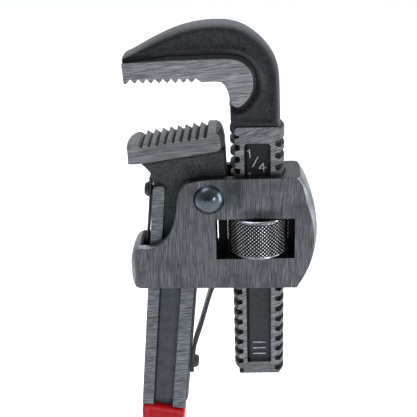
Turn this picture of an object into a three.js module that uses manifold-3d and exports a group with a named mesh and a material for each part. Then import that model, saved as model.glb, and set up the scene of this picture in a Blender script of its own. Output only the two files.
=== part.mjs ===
// Stillson-pattern pipe wrench, 14 inch nominal, modelled in millimetres with +Z up.
// The working frame has its origin on the pivot rivet's axis, in the middle plane of the wrench:
// X runs across the jaws towards the threaded shank, Z runs along that shank, Y is the thickness.
// The finished group is moved so that the part's origin is the middle of the hand grip.
import * as THREE from "three";
import { mergeVertices } from "three/addons/utils/BufferGeometryUtils.js";
import Module from "manifold-3d";

const wasm = await Module();
wasm.setup();

// ---- driving dimensions, millimetres ----
const GRIP_POINT = { x: -33.5, z: -190 };
const GAP = 0.3;

const HOUSING_HALF = 10.25;
const SLOT_HALF = 6.95;
const CHEEK_TOP = 9.2;
const HOUSING_FOOT = -41.7;
const CROWN_CENTRE = { x: -0.8, z: -15.2 };
const CROWN_RADIUS = 45.5;
const WINDOW = { x0: 2.4, x1: 35.1, z0: -27.0, z1: -8.9 };
const POCKET_RADIUS = 13.1;
const POCKET_WEB = 1.6;

const SHANK_X = 20.0;
const SHANK_RADIUS = 11.1;
const SHANK_HALF = 6.35;
const SHANK_TOP = 28.8;
const SHANK_FOOT = -87.2;
const PITCH = 5.08;
const THREAD_DEPTH = 1.6;
const THREAD_HALF_GROOVE = 0.32;
const THREAD_GAP = 0.4;
const THREAD_PHASE = 17.9;
const PANEL = { x0: 14.6, x1: 25.3, z0: -81.3, z1: 22.6, depth: 1.6 };

const JAW_HALF = 8.65;
const HEAD_HALF = 6.9;
const HOOK_TOOTH = { x: -28.7, pitch: 3.14, count: 9, root: 50.0, tip: 48.5 };
const HEEL_TOOTH = { x: -26.1, z: 22.2, pitch: 3.2, rise: 0.4625, count: 9, depth: 2.0 };

const NUT_RADIUS = 12.6;
const NUT_Z = { lo: -26.6, hi: -9.4 };
const KNURL = { around: 36, rows: 9, depth: 0.45 };

const HANDLE_HALF = 6.7;
const WEB_HALF = 4.6;
const FLANGE = 4.9;
const GRIP_TOP = -104.6;
const GRIP_SLOPE = -0.163;
const CORE_STEP = 1.5;
const CORE_HALF = 4.0;
const END_PAD = { z: -253.5, r: 12.6 };
const HANG_HOLE = 4.5;
const GRIP_HALF = 6.8;

const PIVOT = { head: 6.3, rise: 4.0, shaft: 4.6 };

// ---- solids and booleans ----

// A three.js geometry as a manifold solid.
function solid(geometry) {
  const bare = geometry.index ? geometry.toNonIndexed() : geometry.clone();
  bare.deleteAttribute("normal");
  bare.deleteAttribute("uv");
  const merged = mergeVertices(bare, 1e-4);
  return new wasm.Manifold(
    new wasm.Mesh({
      numProp: 3,
      vertProperties: merged.attributes.position.array,
      triVerts: new Uint32Array(merged.index.array),
    }),
  );
}

function union(first, ...rest) {
  return rest.reduce((sum, next) => sum.add(next), first);
}

function cut(first, ...tools) {
  return tools.reduce((left, tool) => left.subtract(tool), first);
}

function mesh(name, body, colour, roughness, metalness) {
  const made = body.getMesh();
  const geometry = new THREE.BufferGeometry();
  const xyz = new Float32Array(made.vertProperties);
  geometry.setAttribute("position", new THREE.BufferAttribute(xyz, 3));
  geometry.setIndex(new THREE.BufferAttribute(new Uint32Array(made.triVerts), 1));
  geometry.computeVertexNormals();
  const material = new THREE.MeshStandardMaterial({ color: colour, roughness, metalness });
  const result = new THREE.Mesh(geometry, material);
  result.name = name;
  return result;
}

// ---- outlines in the XZ plane ----

// Straight segments through [x, z] pairs; a nested list is a smooth curve through its points.
function outline(parts, divisions = 2) {
  const path = new THREE.Path();
  let started = false;
  for (const part of parts) {
    if (Array.isArray(part[0])) {
      const points = part.map(([x, z]) => new THREE.Vector2(x, z));
      if (!started) path.moveTo(points[0].x, points[0].y);
      else path.lineTo(points[0].x, points[0].y);
      path.splineThru(points.slice(1));
    } else if (started) {
      path.lineTo(part[0], part[1]);
    } else {
      path.moveTo(part[0], part[1]);
    }
    started = true;
  }
  const kept = [];
  for (const raw of path.getPoints(divisions)) {
    const p = new THREE.Vector2(Math.round(raw.x * 100) / 100, Math.round(raw.y * 100) / 100);
    const last = kept[kept.length - 1];
    if (!last || last.distanceTo(p) > 0.02) kept.push(p);
  }
  if (kept[0].distanceTo(kept[kept.length - 1]) < 0.02) kept.pop();
  if (THREE.ShapeUtils.isClockWise(kept)) kept.reverse();
  return kept;
}

// The outline as a plate of half-thickness half, centred on Y = 0.
// layers lists [height fraction, offset multiplier] from the middle plane out to the face, and
// shift(x, z) is how far that point moves outwards for a multiplier of one.
function plate(points, half, layers = null, shift = null) {
  const shape = new THREE.Shape(points);
  const levels = layers ? layers.length - 1 : 1;
  const steps = layers ? 2 * levels : 1;
  const options = { depth: 2, steps, bevelEnabled: false };
  const geometry = new THREE.ExtrudeGeometry(shape, options);
  const position = geometry.attributes.position;
  const count = points.length;
  const outward = points.map((p, i) => {
    const before = points[(i + count - 1) % count];
    const after = points[(i + 1) % count];
    return new THREE.Vector2(after.y - before.y, before.x - after.x).normalize();
  });
  const key = (x, z) => Math.round(x * 100) + "," + Math.round(z * 100);
  const at = new Map(points.map((p, i) => [key(p.x, p.y), i]));
  for (let v = 0; v < position.count; v++) {
    const x = position.getX(v);
    const z = position.getY(v);
    const side = position.getZ(v) - 1;
    if (!layers) {
      position.setZ(v, side * half);
      continue;
    }
    const [height, pull] = layers[Math.round(Math.abs(side) * levels)];
    const out = outward[at.get(key(x, z))];
    const move = pull * shift(x, z);
    position.setXYZ(v, x + out.x * move, z + out.y * move, Math.sign(side) * height * half);
  }
  geometry.rotateX(Math.PI / 2);
  return solid(geometry);
}

// A block between two opposite corners.
function block(x0, x1, y0, y1, z0, z1) {
  const geometry = new THREE.BoxGeometry(x1 - x0, y1 - y0, z1 - z0);
  geometry.translate((x0 + x1) / 2, (y0 + y1) / 2, (z0 + z1) / 2);
  return solid(geometry);
}

// A round bar along Y through (x, z).
function crossBar(x, z, radius, y0, y1, segments = 32) {
  const geometry = new THREE.CylinderGeometry(radius, radius, y1 - y0, segments);
  geometry.translate(x, (y0 + y1) / 2, z);
  return solid(geometry);
}

// A body turned about the upright axis through (x, 0) from [radius, z] pairs.
function turned(x, profile, segments = 48) {
  const points = profile.map(([r, z]) => new THREE.Vector2(r, z));
  const geometry = new THREE.LatheGeometry(points, segments);
  geometry.rotateX(Math.PI / 2);
  geometry.translate(x, 0, 0);
  return solid(geometry);
}

// ---- thread ----

// How deep the rounded groove is at angle (radians from +X, towards +Y) and height z.
function grooveDepth(angle, z, widen) {
  const turn = (z - THREAD_PHASE) / PITCH - angle / (2 * Math.PI);
  const from = Math.abs(turn - Math.round(turn));
  const reach = THREAD_HALF_GROOVE - widen / PITCH;
  if (from >= reach) return 0;
  return (THREAD_DEPTH - widen) * Math.cos((Math.PI * from) / (2 * reach)) ** 2;
}

// A right-hand threaded bar on the shank's axis. swell makes the larger form that cuts a nut.
function threadedBar(z0, z1, segments, swell) {
  const rows = Math.round(((z1 - z0) / PITCH) * 5);
  const radius = SHANK_RADIUS + swell;
  const geometry = new THREE.CylinderGeometry(radius, radius, z1 - z0, segments, rows);
  geometry.rotateX(Math.PI / 2);
  geometry.translate(0, 0, (z0 + z1) / 2);
  const position = geometry.attributes.position;
  for (let v = 0; v < position.count; v++) {
    const x = position.getX(v);
    const y = position.getY(v);
    const z = position.getZ(v);
    if (Math.hypot(x, y) < radius / 2) continue;
    const less = grooveDepth(Math.atan2(y, x), z, swell);
    const scale = (radius - less) / radius;
    position.setXY(v, x * scale, y * scale);
  }
  geometry.translate(SHANK_X, 0, 0);
  return solid(geometry);
}

// ---- hook jaw ----

function hookHead() {
  const silhouette = outline([
    [9.45, SHANK_TOP],
    [9.35, 34],
    [[9.26, 39.5], [8.96, 42.5], [8.3, 45.4], [7.15, 47.4], [5.6, 48.4]],
    [5.0, 50.5],
    [-31.0, 50.5],
    [-31.7, 52.5],
    [[-32.0, 56.2], [-31.9, 57.4], [-31.15, 58.25], [-29.35, 59.05], [-26.15, 60.7], [-21.1, 63.5],
     [-16.0, 65.95], [-10.8, 68.05], [-5.65, 69.45], [-0.45, 70.3], [4.7, 70.55], [9.65, 70.2],
     [14.75, 68.65], [19.6, 65.55], [23.55, 61.7], [26.55, 57.4], [28.3, 53.0], [28.95, 48],
     [29.15, 41.5], [29.3, 36]],
    [29.4, SHANK_TOP],
  ]);
  const rim = (x, z) => {
    if (x < 11 && z < 55) return 0;
    if (z < SHANK_TOP) return 0.4;
    const { smoothstep } = THREE.MathUtils;
    return 0.8 + 1.7 * smoothstep(x, -30, -14) - 0.6 * smoothstep(x, 15, 28);
  };
  const crown = [[0, 0], [0.45, -0.03], [0.7, -0.18], [0.85, -0.42], [0.95, -0.7], [1, -1]];
  return plate(silhouette, HEAD_HALF, crown, rim);
}

function hookToothBlock() {
  const teeth = [[-31.3, 48.3], [-30.2, 48.35]];
  for (let k = 0; k < HOOK_TOOTH.count; k++) {
    const x = HOOK_TOOTH.x + k * HOOK_TOOTH.pitch;
    teeth.push([x - 0.12, HOOK_TOOTH.root], [x + 0.12, HOOK_TOOTH.root]);
    if (k === HOOK_TOOTH.count - 1) break;
    teeth.push([x + 1.45, HOOK_TOOTH.tip], [x + 1.95, HOOK_TOOTH.tip]);
  }
  const ground = outline([
    ...teeth,
    [-1.3, 48.6],
    [3.5, 48.7],
    [[6.1, 48.5], [7.6, 47.1], [8.6, 45.0], [9.3, 42.5], [9.7, 40.6]],
    [[10.2, 39.4], [12.3, 38.4], [15.0, 40.0], [17.4, 43.4], [18.4, 47.6], [17.7, 51.8],
     [15.2, 55.2], [12.2, 56.9], [8.5, 57.4]],
    [0, 57.3],
    [-15, 56.9],
    [-31.6, 56.1],
    [-31.6, 55],
  ]);
  const spread = (x, z) => {
    if (x < -31 || z < 51) return x > 9.9 ? 1.3 : 0;
    return 1.3;
  };
  return plate(ground, JAW_HALF, [[0, 1], [0.8, 1], [1, 0]], spread);
}

function shankBar() {
  const slab = block(SHANK_X - 20, SHANK_X + 20, -SHANK_HALF, SHANK_HALF, SHANK_FOOT, SHANK_TOP);
  const bar = threadedBar(SHANK_FOOT - 2, 27.6, 24, 0);
  const collar = turned(SHANK_X, [[0, 22], [8, 22], [SHANK_RADIUS, 25.8], [SHANK_RADIUS, 28.6],
    [9.7, 30.8], [0, 30.8]], 32);
  const neck = block(SHANK_X - 8, SHANK_X + 8, -SHANK_HALF, SHANK_HALF, 20, 32);
  const grown = new THREE.BoxGeometry(60, 2 * SHANK_HALF, 40);
  grown.translate(SHANK_X, 0, 20);
  const top = union(collar, neck).intersect(solid(grown));
  return union(bar.intersect(slab), top);
}

// Strokes of the opening scale's fractions, a quarter, a half and three quarters, as [x, z] ends.
const SCALE = [
  [[16.0, 19.0], [16.7, 19.7]],
  [[16.7, 19.7], [16.95, 16.4]],
  [[18.0, 12.4], [20.2, 16.5]],
  [[22.4, 13.8], [20.5, 11.5]],
  [[20.5, 11.5], [23.5, 11.8]],
  [[22.4, 13.8], [22.5, 10.0]],
  [[16.1, 9.0], [16.8, 9.7]],
  [[16.8, 9.7], [17.05, 6.4]],
  [[18.0, 2.4], [20.2, 6.5]],
  [[20.6, 3.1], [21.6, 4.0]],
  [[21.6, 4.0], [22.6, 3.1]],
  [[22.6, 3.1], [20.8, 0.3]],
  [[20.8, 0.3], [23.2, 0.5]],
  [[16.2, -0.9], [17.8, -1.3]],
  [[17.8, -1.3], [16.6, -2.6]],
  [[16.6, -2.6], [17.8, -3.8]],
  [[17.8, -3.8], [16.4, -4.6]],
  [[18.0, -8.1], [20.2, -4.0]],
  [[22.4, -6.7], [20.5, -9.0]],
  [[20.5, -9.0], [23.5, -8.7]],
  [[22.4, -6.7], [22.5, -10.5]],
];

// A raised stroke on the floor of the shank's long panel; on the far face it runs the other way.
function stroke([x0, z0], [x1, z1], side) {
  const long = Math.hypot(x1 - x0, z1 - z0);
  const bar = new THREE.BoxGeometry(long + 0.6, 1.0, 0.65);
  bar.rotateY(-Math.atan2(z1 - z0, x1 - x0));
  bar.translate((x0 + x1) / 2, 0, (z0 + z1) / 2);
  bar.translate(-SHANK_X, side * (SHANK_HALF - PANEL.depth + 0.2), 0);
  if (side > 0) bar.scale(-1, 1, 1);
  if (side > 0) bar.index.array.reverse();
  bar.translate(SHANK_X, 0, 0);
  return solid(bar);
}

// The scale's strokes on both faces, and three plain bars near the foot of each panel.
function scaleMarks() {
  const marks = [];
  for (const side of [-1, 1]) {
    for (const [from, to] of SCALE) marks.push(stroke(from, to, side));
    for (let k = 0; k < 3; k++) marks.push(stroke([17.4, -71.5 - k * 3], [22.8, -71.5 - k * 3], side));
  }
  return marks;
}

function panelCut(side) {
  const r = 1.6;
  const { x0, x1, z0, z1, depth } = PANEL;
  const shape = outline([
    [x0, z0], [x1, z0], [[x1, z1 - r], [x1 - 0.5, z1 - 0.5], [x1 - r, z1]],
    [[x0 + r, z1], [x0 + 0.5, z1 - 0.5], [x0, z1 - r]],
  ]);
  const tall = plate(shape, 20);
  const keep = block(-50, 80, 0, 40, -200, 200).translate([0, SHANK_HALF - depth, 0]);
  const one = tall.intersect(keep);
  return side > 0 ? one : one.mirror([0, 1, 0]);
}

function hookJaw() {
  const body = union(hookHead(), hookToothBlock(), shankBar());
  const corner = plate(outline([
    [SHANK_X - 13, SHANK_FOOT - 1], [SHANK_X - 8.4, SHANK_FOOT - 1], [SHANK_X - 13, SHANK_FOOT + 5.2],
  ]), 20);
  const open = cut(body, corner, panelCut(1), panelCut(-1));
  return union(open, ...scaleMarks());
}

// ---- handle with heel jaw ----

const leftEdge = (z) => -27.8 + 0.1042 * (z + 42.8);
const rightEdge = (z) => -7.85 + 0.1085 * (z + 42.7);
const gripLine = (x) => GRIP_TOP + GRIP_SLOPE * (x + 24.5);
const middle = (z) => (leftEdge(z) + rightEdge(z)) / 2;
const padX = middle(END_PAD.z) + 0.4;

function heelToothBlock() {
  const teeth = [];
  for (let k = 0; k < HEEL_TOOTH.count; k++) {
    const x = HEEL_TOOTH.x + k * HEEL_TOOTH.pitch;
    const z = HEEL_TOOTH.z + k * HEEL_TOOTH.rise;
    teeth.push([x - 0.1, z], [x + 0.1, z]);
    teeth.push([x + 0.75, z + HEEL_TOOTH.depth], [x + 1.05, z + HEEL_TOOTH.depth - 0.05]);
  }
  teeth.pop();
  const face = outline([
    [-32.0, 15.3],
    [-31.7, 20.8],
    [[-31.4, 21.6], [-30.6, 22.8], [-29.2, 23.45], [-27.8, 23.4]],
    ...teeth,
    [0.6, 28.0],
    [3.5, 28.05],
    [[4.3, 27.5], [5.0, 25.9], [5.4, 23.8], [5.3, 22.0], [4.8, 20.9], [3.8, 20.25]],
    [-28.4, 15.25],
  ]);
  const round = (x, z) => {
    if (x < 0) return 1.4 * THREE.MathUtils.smoothstep(-x, 29, 31.5) * (z > 15.5 ? 1 : 0);
    return x > 3.6 && z < 27.9 ? 1.6 : 0;
  };
  return plate(face, JAW_HALF, [[0, 1], [0.55, 0.75], [0.85, 0.3], [1, 0]], round);
}

// The straight edges of the shaft, moved in by inset and out by gap.
function shaftEdges(inset, gap) {
  const left = (z) => leftEdge(z) - 0.3 + inset - gap;
  const right = (z) => rightEdge(z) + 1.2 - inset + gap;
  return { left, right, pad: END_PAD.r - inset + gap };
}

// The end of the shaft: straight sides that swell into a round pad about the hanging hole.
function shaftTail(inset, gap) {
  const { left, right, pad } = shaftEdges(inset, gap);
  const arc = [];
  for (let k = 0; k <= 12; k++) {
    const a = Math.PI * (0.94 + (1.12 * k) / 12);
    arc.push([padX + pad * Math.cos(a), END_PAD.z + pad * Math.sin(a)]);
  }
  return [
    [left(-226), -226],
    [[left(-233) - 0.25, -233], [left(-241) - 1.0, -241], arc[0]],
    ...arc.slice(1, 12),
    [arc[12], [right(-241) + 1.0, -241], [right(-233) + 0.25, -233]],
    [right(-226), -226],
  ];
}

function neckAndShaft() {
  const z = -101.5;
  const points = outline([
    [-29.0, 17.0],
    [[-28.2, 14.6], [-27.2, 13.6], [-25.6, 12.0], [-24.2, 10.2], [-23.4, 8.2], [-22.95, 5.0]],
    [leftEdge(-20) - 0.3, -20],
    [leftEdge(z) - 0.3, z],
    [rightEdge(z - 2) + 1.2, z - 2],
    [rightEdge(-30) + 1.2, -30],
    [[-5.0, -21], [-2.0, -15.5], [3.2, -9.5], [6.6, -3.5], [7.7, 3], [7.5, 10]],
    [[7.25, 18.9], [6.7, 24.6], [5.4, 26.6]],
    [2.0, 24.0],
    [-20, 19.0],
  ]);
  const round = (x, zz) => (x > -20 && zz < 26 ? 1.2 : 0.3);
  return plate(points, WEB_HALF, [[0, 0], [0.55, -0.12], [0.88, -0.4], [1, -0.75]], round);
}

// A raised rib on both faces between two edges given as functions of z.
function rib(zTop, zFoot, from, to, roundTop) {
  const top = roundTop
    ? [[[from(zTop - 1.6), zTop - 1.6], [from(zTop) + 1.1, zTop - 0.2],
        [to(zTop) - 1.1, zTop - 0.2], [to(zTop - 1.6), zTop - 1.6]]]
    : [[from(zTop), zTop], [to(zTop), zTop]];
  const points = outline([...top, [to(zFoot), zFoot - 0.8], [from(zFoot), zFoot]]);
  return plate(points, HANDLE_HALF);
}

// The part of the shaft under the grip, smaller all round by CORE_STEP; gap grows it.
function core(gap) {
  const { left, right } = shaftEdges(CORE_STEP, gap);
  const body = outline([...shaftTail(CORE_STEP, gap), [right(-96), -96], [left(-96), -96]]);
  return plate(body, CORE_HALF + gap);
}

// Everything above (keep > 0) or below the slanted line where the grip begins.
function gripSide(keep, lift) {
  const far = keep > 0 ? 200 : -500;
  const points = outline([
    [-80, gripLine(-80) + lift], [40, gripLine(40) + lift], [40, far], [-80, far],
  ]);
  return plate(points, 40);
}

function handle() {
  const left = rib(5.0, -108, leftEdge, (z) => leftEdge(z) + FLANGE + 0.1, true);
  const right = rib(-14, -112, (z) => rightEdge(z) - FLANGE - 0.8, rightEdge, false);
  const boss = crossBar(0, 0, 7.3, -HANDLE_HALF, HANDLE_HALF);
  const bridge = plate(outline([
    [rightEdge(-13) - 6, -13], [rightEdge(-13), -16], [2.5, -6.6], [-4.5, -4.5],
  ]), HANDLE_HALF);
  const upper = union(neckAndShaft(), left, right, boss, bridge).intersect(gripSide(1, 0));
  const full = union(upper, heelToothBlock(), core(0));
  return cut(
    full,
    crossBar(0, 0, PIVOT.shaft + GAP, -20, 20),
    crossBar(padX, END_PAD.z, HANG_HOLE + 1.5, -20, 20, 24),
    rivetBar(heelRivet, 2.2, -7, 8),
    rivetBar(handleRivet, 2.2, -7, 8),
  );
}

// ---- grip ----

// A shallow hollow along each side of the grip, where the coating follows the shaft's channel.
function gripDish(side) {
  const near = (z, d) => [leftEdge(z) + d, z];
  const far = (z, d) => [rightEdge(z) - d, z];
  const hollow = outline([
    [near(-105.6, 4.4), near(-107.4, 2.6), near(-111, 2.1), near(-118, 2.1)],
    near(-222, 2.2),
    [near(-231, 3.6), [middle(-235.5), -235.5], far(-231, 3.2), far(-222, 1.8)],
    [far(-118, 1.8), far(-112, 2.1), far(-108.4, 4.6)],
  ]);
  const floor = CORE_HALF + GAP + 1.2;
  const tool = plate(hollow, 20).intersect(block(-90, 40, floor, 40, -400, 0));
  return side > 0 ? tool : tool.mirror([0, 1, 0]);
}

function dippedGrip() {
  const { left, right } = shaftEdges(0, 0.1);
  const body = outline([...shaftTail(0, 0.1), [right(-98), -98], [left(-98), -98]]);
  const layers = [[0, 0], [0.6, -0.25], [0.88, -0.6], [1, -1]];
  const soft = plate(body, GRIP_HALF, layers, () => 1.5);
  const liner = crossBar(padX, END_PAD.z, HANG_HOLE + 1.2, -20, 20, 24);
  const cavity = core(GAP).subtract(liner);
  const sleeve = soft.intersect(gripSide(-1, -0.35));
  const hole = crossBar(padX, END_PAD.z, HANG_HOLE, -20, 20, 24);
  return cut(sleeve, cavity, gripDish(1), gripDish(-1), hole);
}

// ---- housing ----

function housingOutline() {
  const from = Math.asin((CHEEK_TOP - CROWN_CENTRE.z) / CROWN_RADIUS);
  const to = Math.asin((HOUSING_FOOT - CROWN_CENTRE.z) / CROWN_RADIUS);
  const arc = [];
  for (let k = 0; k <= 14; k++) {
    const a = to + ((from - to) * k) / 14;
    arc.push([CROWN_CENTRE.x + CROWN_RADIUS * Math.cos(a), CROWN_CENTRE.z + CROWN_RADIUS * Math.sin(a)]);
  }
  return outline([
    [-30.2, -40.7],
    [0, -41.0],
    ...arc,
    [0.6, 9.0],
    [[-5, 8.3], [-8.2, 7.5], [-10.6, 6.0], [-12.3, 2.8], [-13.1, -1.0], [-13.7, -5.0], [-14.8, -10.0],
     [-16.6, -14.6], [-19.2, -18.2], [-22.4, -20.7], [-25.6, -21.6]],
    [[-28.2, -21.2], [-30.4, -21.3], [-32.4, -22.8], [-33.7, -25.4], [-34.2, -29]],
    [[-34.2, -35], [-33.8, -37.7], [-32.5, -39.8], [-30.2, -40.7]],
  ]);
}

function housing() {
  const { smoothstep } = THREE.MathUtils;
  const edge = (x, z) => {
    if (x > 34) return 0.5 + 2.5 * smoothstep(z, -36, 6);
    if (x < -27) return 0.15 + 1.95 * smoothstep(z, -41, -35);
    return 0.15;
  };
  const body = plate(housingOutline(), HOUSING_HALF, [[0, 0], [0.72, -0.1], [0.9, -0.42], [1, -1]], edge);
  const slot = plate(outline([
    [-28.5, 30], [-28.6, -22], [-30.0, -41], [-30.1, -60], [SHANK_X, -60], [SHANK_X, 30],
  ]), SLOT_HALF);
  const guide = turned(SHANK_X, [[0, -60], [SHANK_RADIUS + 0.4, -60], [SHANK_RADIUS + 0.4, 30],
    [0, 30]], 48);
  const track = guide.intersect(block(0, 60, -SLOT_HALF, SLOT_HALF, -70, 40));
  const partition = plate(outline([
    [3.85, -9.9], [12.5, -9.9], [12.5, -40.9], [6.2, -40.9], [6.2, -30.2], [3.85, -28.2],
  ]), SLOT_HALF + 0.6);
  const { x0, x1, z0, z1 } = WINDOW;
  const window = union(block(x0, x1, -30, -POCKET_WEB, z0, z1), block(x0, x1, POCKET_WEB, 30, z0, z1));
  const pocket = turned(SHANK_X, [[0, z0], [POCKET_RADIUS, z0], [POCKET_RADIUS, z1], [0, z1]], 64);
  const bore = crossBar(0, 0, PIVOT.shaft + GAP, -20, 20);
  return cut(union(cut(body, slot), partition), track, window, pocket, bore);
}

// ---- adjusting nut ----

function adjustingNut() {
  const height = NUT_Z.hi - NUT_Z.lo;
  const columns = 2 * KNURL.around;
  const rows = KNURL.rows;
  const geometry = new THREE.CylinderGeometry(NUT_RADIUS, NUT_RADIUS, height, columns, rows + 2);
  const position = geometry.attributes.position;
  const chamfer = 0.9;
  for (let v = 0; v < position.count; v++) {
    const x = position.getX(v);
    const z = position.getZ(v);
    if (Math.hypot(x, z) < 1) continue;
    const row = Math.round(((position.getY(v) + height / 2) / height) * (rows + 2));
    const column = Math.round((Math.atan2(z, x) / (2 * Math.PI)) * columns);
    const rim = row === 0 || row === rows + 2;
    const low = (row + column) % 2 !== 0;
    const radius = NUT_RADIUS - (rim ? 1.1 : low ? KNURL.depth : 0);
    const angle = (column * 2 * Math.PI) / columns;
    const inner = (height - 2 * chamfer) / rows;
    const up = rim ? position.getY(v) : -height / 2 + chamfer + (row - 1) * inner;
    position.setXYZ(v, radius * Math.cos(angle), up, radius * Math.sin(angle));
  }
  geometry.rotateX(Math.PI / 2);
  geometry.translate(SHANK_X, 0, (NUT_Z.hi + NUT_Z.lo) / 2);
  return solid(geometry).subtract(threadedBar(NUT_Z.lo - 3, NUT_Z.hi + 3, 24, THREAD_GAP));
}

// ---- rivets and springs ----

const heelRivet = { x: -24.98, z: 1.2, lean: 0.09, side: -1, head: 3.2, rise: 2.2 };
const handleRivet = { x: -9.55, z: -84.5, lean: 0.1, side: 1, head: 3.0, rise: 2.0 };

// A bar along the spring rivet's axis, from y0 outside the seat to y1 inside it.
function rivetBar(rivet, radius, outer, inner) {
  const geometry = new THREE.CylinderGeometry(radius, radius, inner - outer, 20);
  geometry.rotateZ(Math.PI / 2);
  geometry.translate((rivet.side * -(outer + inner)) / 2, 0, 0);
  geometry.rotateY(rivet.lean);
  geometry.translate(rivet.x, 0, rivet.z);
  return solid(geometry);
}

function domeRivet(radius, head, rise, grip) {
  const ball = (head * head + rise * rise) / (2 * rise);
  const profile = [
    new THREE.Vector2(0, -grip),
    new THREE.Vector2(radius, -grip),
    new THREE.Vector2(radius, 0),
  ];
  for (let k = 0; k <= 4; k++) {
    const a = Math.asin(head / ball) * (1 - k / 4);
    const r = k === 4 ? 0 : ball * Math.sin(a);
    profile.push(new THREE.Vector2(r, rise - ball + ball * Math.cos(a)));
  }
  return new THREE.LatheGeometry(profile, 20);
}

function springRivet(rivet) {
  const geometry = domeRivet(1.9, rivet.head, rivet.rise, 6);
  geometry.rotateZ(-rivet.side * Math.PI / 2);
  geometry.rotateY(rivet.lean);
  geometry.translate(rivet.x, 0, rivet.z);
  return solid(geometry);
}

function pivotRivet() {
  const ball = (PIVOT.head ** 2 + PIVOT.rise ** 2) / (2 * PIVOT.rise);
  const seat = HOUSING_HALF + 0.12;
  const cap = [];
  for (let k = 0; k <= 6; k++) {
    const a = Math.asin(PIVOT.head / ball) * (1 - k / 6);
    cap.push([k === 6 ? 0 : ball * Math.sin(a), seat + PIVOT.rise - ball + ball * Math.cos(a)]);
  }
  const profile = [
    ...cap.slice().reverse().map(([r, y]) => [r, -y]),
    [PIVOT.shaft, -seat],
    [PIVOT.shaft, seat],
    ...cap,
  ];
  const points = profile.map(([r, y]) => new THREE.Vector2(r, y));
  return solid(new THREE.LatheGeometry(points, 32));
}

// A flat strip of the given thickness whose middle line runs through the points.
function strip(points, thick, half, divisions) {
  const line = new THREE.SplineCurve(points.map(([x, z]) => new THREE.Vector2(x, z)));
  const left = [];
  const right = [];
  for (let k = 0; k <= divisions; k++) {
    const p = line.getPoint(k / divisions);
    const t = line.getTangent(k / divisions);
    left.push([p.x - (t.y * thick) / 2, p.y + (t.x * thick) / 2]);
    right.push([p.x + (t.y * thick) / 2, p.y - (t.x * thick) / 2]);
  }
  return plate(outline([...left, ...right.reverse()]), half);
}

function heelSpring() {
  const line = [[-24.15, 7.4], [-24.15, 5.0], [-24.4, 1.2], [-25.2, -6.5], [-26.15, -14.5],
    [-27.15, -21.2]];
  const band = strip(line, 0.8, 3.9, 12);
  return band.subtract(rivetBar(heelRivet, 2.2, -4, 4));
}

function handleSpring() {
  const band = strip([[3.2, -36.2], [0.6, -43.0], [-1.5, -48.6], [-5.4, -62.3], [-8.75, -73], [-9.65, -78],
    [-10.4, -84.5], [-10.85, -88.4]], 1.3, 3.6, 16);
  return band.subtract(rivetBar(handleRivet, 2.2, -4, 4));
}

// ---- assembly ----

const wrench = new THREE.Group();
const pieces = [
  mesh("handle", handle(), 0x5f666b, 0.45, 0.9),
  mesh("dipped_grip", dippedGrip(), 0xb01e23, 0.3, 0.0),
  mesh("housing", housing(), 0x66686d, 0.5, 0.9),
  mesh("pivot_rivet", pivotRivet(), 0x59646e, 0.25, 1.0),
  mesh("hook_jaw", hookJaw(), 0x54585c, 0.5, 0.9),
  mesh("adjusting_nut", adjustingNut(), 0xa4a8ad, 0.3, 1.0),
  mesh("heel_spring", heelSpring(), 0x5c6064, 0.35, 1.0),
  mesh("heel_spring_rivet", springRivet(heelRivet), 0x3c4044, 0.45, 0.9),
  mesh("handle_spring", handleSpring(), 0x54585b, 0.4, 1.0),
  mesh("handle_spring_rivet", springRivet(handleRivet), 0x3c4044, 0.45, 0.9),
];
const frame = new THREE.Group();
frame.position.set(-GRIP_POINT.x, 0, -GRIP_POINT.z);
frame.add(...pieces);
wrench.add(frame);
wrench.name = "pipe_wrench";

export default wrench;
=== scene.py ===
"""Looks of a 14 inch pipe wrench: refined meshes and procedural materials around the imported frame.

Lengths are millimetres in the pivot frame, whose origin is the pivot rivet's axis in the wrench's
middle plane, with X across the jaws and Z along the threaded shank. row() turns them into metres.
"""

import math

import bmesh
import bpy
import numpy as np
from mathutils import Matrix, Vector, noise
from mathutils.geometry import delaunay_2d_cdt


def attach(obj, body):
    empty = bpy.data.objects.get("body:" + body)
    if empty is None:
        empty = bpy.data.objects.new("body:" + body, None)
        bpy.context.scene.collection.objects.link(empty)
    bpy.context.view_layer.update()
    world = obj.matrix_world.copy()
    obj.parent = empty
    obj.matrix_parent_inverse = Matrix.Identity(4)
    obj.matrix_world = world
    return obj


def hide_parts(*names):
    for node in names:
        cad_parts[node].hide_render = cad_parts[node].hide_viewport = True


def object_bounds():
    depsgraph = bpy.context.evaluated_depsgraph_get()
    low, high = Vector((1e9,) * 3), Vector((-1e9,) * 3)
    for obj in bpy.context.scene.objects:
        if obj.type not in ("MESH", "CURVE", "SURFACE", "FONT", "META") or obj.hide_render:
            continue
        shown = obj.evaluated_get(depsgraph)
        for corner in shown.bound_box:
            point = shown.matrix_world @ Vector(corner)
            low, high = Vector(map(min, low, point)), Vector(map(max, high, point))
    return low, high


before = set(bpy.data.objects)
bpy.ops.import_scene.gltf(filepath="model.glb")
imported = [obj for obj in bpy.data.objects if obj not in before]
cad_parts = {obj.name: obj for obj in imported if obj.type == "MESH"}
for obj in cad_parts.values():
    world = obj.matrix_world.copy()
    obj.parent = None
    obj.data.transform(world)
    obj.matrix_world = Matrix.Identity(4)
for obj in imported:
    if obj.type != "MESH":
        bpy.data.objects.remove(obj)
cad_box = [list(corner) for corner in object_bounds()]

MM = 0.001
PIVOT = Vector((33.5, 0.0, 190.0))

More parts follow.
